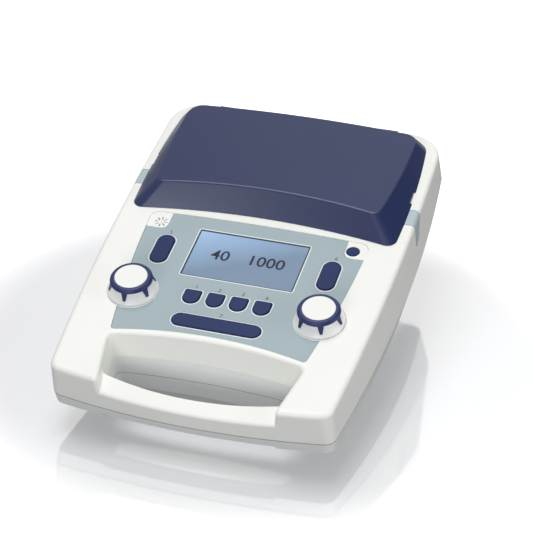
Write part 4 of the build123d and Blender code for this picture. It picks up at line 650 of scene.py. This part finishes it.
def section_loops(node):
    """Closed lines, in the deck frame, where the seam's own plane cuts a solid."""
    solid = frame["nodes"][node]
    cut = bmesh.new()
    cut.from_mesh(solid.data)
    cut.transform(DECK.inverted() @ solid.matrix_world)
    bmesh.ops.remove_doubles(cut, verts=cut.verts[:], dist=MERGE_DISTANCE)
    found = bmesh.ops.bisect_plane(
        cut, geom=cut.verts[:] + cut.edges[:] + cut.faces[:],
        plane_co=(0, SEAM_FRONT_Y, seam_z(SEAM_FRONT_Y)), plane_no=(0, -SEAM_SLOPE, 1),
    )
    left = {part: True for part in found["geom_cut"] if isinstance(part, bmesh.types.BMEdge)}
    loops = []
    while left:
        edge = next(iter(left))
        loop = [edge.verts[0]]
        while edge:
            del left[edge]
            loop.append(edge.other_vert(loop[-1]))
            edge = next((other for other in loop[-1].link_edges if other in left), None)
        loops.append([(corner.co.x, corner.co.y) for corner in loop])
    cut.free()
    return loops


def seam(name, half_width, outwards):
    """Thin dark line of painted shade in the gap between the mouldings, round the loop whose half width
    is nearest to the given one.

    Outwards is 1 where the air is outside the loop, and -1 where it is inside.
    """
    loop = min(section_loops("lower_shell"), key=lambda points: abs(max(points)[0] - half_width))
    loop = [point for i, point in enumerate(loop) if point != loop[i - 1]]
    area = sum(a[0] * b[1] - b[0] * a[1] for a, b in zip(loop, loop[1:] + loop[:1]))
    side = outwards if area > 0 else -outwards
    points = []
    for offset, rise in SEAM_SECTION:
        for i, (x, y) in enumerate(loop):
            along = (Vector(loop[(i + 1) % len(loop)]) - Vector(loop[i - 1])).normalized()
            across = y - along.x * offset * side
            points.append((x + along.y * offset * side, across, seam_z(across) + rise))
    mesh = deck_mesh(name, points, ring_faces(len(SEAM_SECTION), len(loop)))
    new_piece(name, mesh, SEAM_SHADE)


# Dark lines of painted shade in the gap where the two mouldings meet
seam("outer_seam_shade", OUTSIDE_HALF_WIDTH, outwards=1)
seam("grab_opening_seam_shade", OPENING_HALF_WIDTH, outwards=-1)


# Studio

# The floor is a polished pale table top. The camera sees it with a soft mirror image of the part,
# and brighter away from the part, until it is as white as the background.
FLOOR_REACH = 12.0
FLOOR_DRIFT_SCALE = 1.5
FLOOR_DRIFT_DETAIL = 2.0
FLOOR_LOW = (204, 205, 208)
FLOOR_HIGH = (208, 209, 212)
FLOOR_BOUNCE = (140, 141, 144)
FLOOR_ROUGH = 0.07
FLOOR_GLOSS = 0.5
FLOOR_IOR = 4.2
FLOOR_LIFT = 0.25
FLOOR_NEAR = 0.22
FLOOR_FAR = 0.36


def floor_material():
    """Floor that lights the part less than it shows, so that the part's sides stay grey."""
    material, nodes, links, shader = new_material("studio_floor")
    coords = nodes.new("ShaderNodeTexCoord")
    drift = noise(nodes, links, coords, FLOOR_DRIFT_SCALE, FLOOR_DRIFT_DETAIL)
    tone = colour_spread(nodes, links, drift.outputs["Fac"], linear(FLOOR_LOW), linear(FLOOR_HIGH))
    shader.inputs["Roughness"].default_value = FLOOR_ROUGH
    shader.inputs["IOR"].default_value = FLOOR_IOR
    shader.inputs["Emission Color"].default_value = WHITE_LIGHT
    to_camera = nodes.new("ShaderNodeLightPath").outputs["Is Camera Ray"]
    bounce = nodes.new("ShaderNodeMix")
    bounce.data_type = "RGBA"
    bounce.inputs["A"].default_value = linear(FLOOR_BOUNCE)
    links.new(to_camera, bounce.inputs["Factor"])
    links.new(tone.outputs[0], bounce.inputs["B"])
    links.new(bounce.outputs["Result"], shader.inputs["Base Color"])
    far = nodes.new("ShaderNodeVectorMath")
    far.operation = "LENGTH"
    links.new(coords.outputs["Object"], far.inputs[0])
    rise = smooth_rise(nodes, links, far.outputs["Value"], FLOOR_NEAR, FLOOR_FAR, FLOOR_LIFT, 1.0)
    lift = calculate(nodes, links, "MULTIPLY", to_camera, rise)
    links.new(lift, shader.inputs["Emission Strength"])
    mirror = calculate(nodes, links, "MULTIPLY", to_camera, FLOOR_GLOSS)
    links.new(mirror, shader.inputs["Specular IOR Level"])
    return material


floor_mesh = bpy.data.meshes.new("studio_floor")
floor_corners = [
    (FLOOR_REACH * x, FLOOR_REACH * y, 0) for x, y in ((-1, -1), (1, -1), (1, 1), (-1, 1))
]
floor_mesh.from_pydata(floor_corners, [], [(0, 1, 2, 3)])
floor_mesh.materials.append(floor_material())
floor = bpy.data.objects.new("studio_floor", floor_mesh)
bpy.context.scene.collection.objects.link(floor)

# Each lamp's name, place, the point that it faces, its size and its power
LAMPS = (
    ("key_light", (-0.3, -0.1, 2.2), (0, 0, 0.08), 1.2, 26.5),
    ("side_light", (2.2, -0.2, 0.5), (0, 0, 0.06), 1.2, 15.0),
    ("front_light", (0.0, -2.2, 0.35), (0, 0, 0.04), 0.8, 15.0),
)
for name, place, aim, size, power in LAMPS:
    lamp = bpy.data.lights.new(name, "AREA")
    lamp.shape = "SQUARE"
    lamp.size = size
    lamp.energy = power
    light = bpy.data.objects.new(name, lamp)
    light.location = place
    light.rotation_euler = (Vector(aim) - Vector(place)).to_track_quat("-Z", "Y").to_euler()
    bpy.context.scene.collection.objects.link(light)

# White surroundings for the camera, gloss and glass, with darker walls that only gloss shows.
# Each wall has where it starts, where it is full, and how much of the light it takes away.
AMBIENT = 0.36
RIGHT_WALL = (0.2, 0.6, 0.93)
LEFT_WALL = (-0.15, -0.45, 0.45)


def background(nodes, strength):
    node = nodes.new("ShaderNodeBackground")
    node.inputs["Color"].default_value = WHITE_LIGHT
    node.inputs["Strength"].default_value = strength
    return node


def make_world():
    world = bpy.data.worlds.new("studio")
    world.use_nodes = True
    nodes = world.node_tree.nodes
    links = world.node_tree.links
    nodes.clear()
    out = nodes.new("ShaderNodeOutputWorld")
    ambient = background(nodes, AMBIENT)
    seen = background(nodes, 1.0)
    path = nodes.new("ShaderNodeLightPath").outputs
    pick = nodes.new("ShaderNodeMixShader")
    shown = calculate(nodes, links, "ADD", path["Is Camera Ray"], path["Is Glossy Ray"])
    shown = calculate(nodes, links, "ADD", shown, path["Is Transmission Ray"], clamp=True)
    links.new(shown, pick.inputs[0])
    links.new(ambient.outputs[0], pick.inputs[1])
    links.new(seen.outputs[0], pick.inputs[2])
    direction = nodes.new("ShaderNodeTexCoord")
    split = nodes.new("ShaderNodeSeparateXYZ")
    links.new(direction.outputs["Generated"], split.inputs[0])
    level = 1.0
    for start, full, taken in (RIGHT_WALL, LEFT_WALL):
        wall = smooth_rise(nodes, links, split.outputs["X"], start, full, 0.0, taken)
        glossy_wall = calculate(nodes, links, "MULTIPLY", path["Is Glossy Ray"], wall)
        level = calculate(nodes, links, "SUBTRACT", level, glossy_wall)
    links.new(level, seen.inputs["Strength"])
    links.new(pick.outputs[0], out.inputs[0])
    return world


bpy.context.scene.world = make_world()
bpy.context.scene.view_settings.view_transform = "Standard"

# Camera at the photograph's place, given from the table point under the deck frame's zero
CAMERA_LENS = 123.88
CAMERA_SENSOR = 36.0
CAMERA_X = 0.39912
CAMERA_FORWARD = 1.20435
CAMERA_Z = 0.78767
CAMERA_TURN = (62.4655, -1.2547, 17.4890)
camera_data = bpy.data.cameras.new("camera")
camera_data.lens = CAMERA_LENS
camera_data.sensor_width = CAMERA_SENSOR
camera = bpy.data.objects.new("camera", camera_data)
camera.location = (CAMERA_X, ORIGIN.y - CAMERA_FORWARD, CAMERA_Z)
camera.rotation_euler = [radians(angle) for angle in CAMERA_TURN]
bpy.context.scene.collection.objects.link(camera)
bpy.context.scene.camera = camera
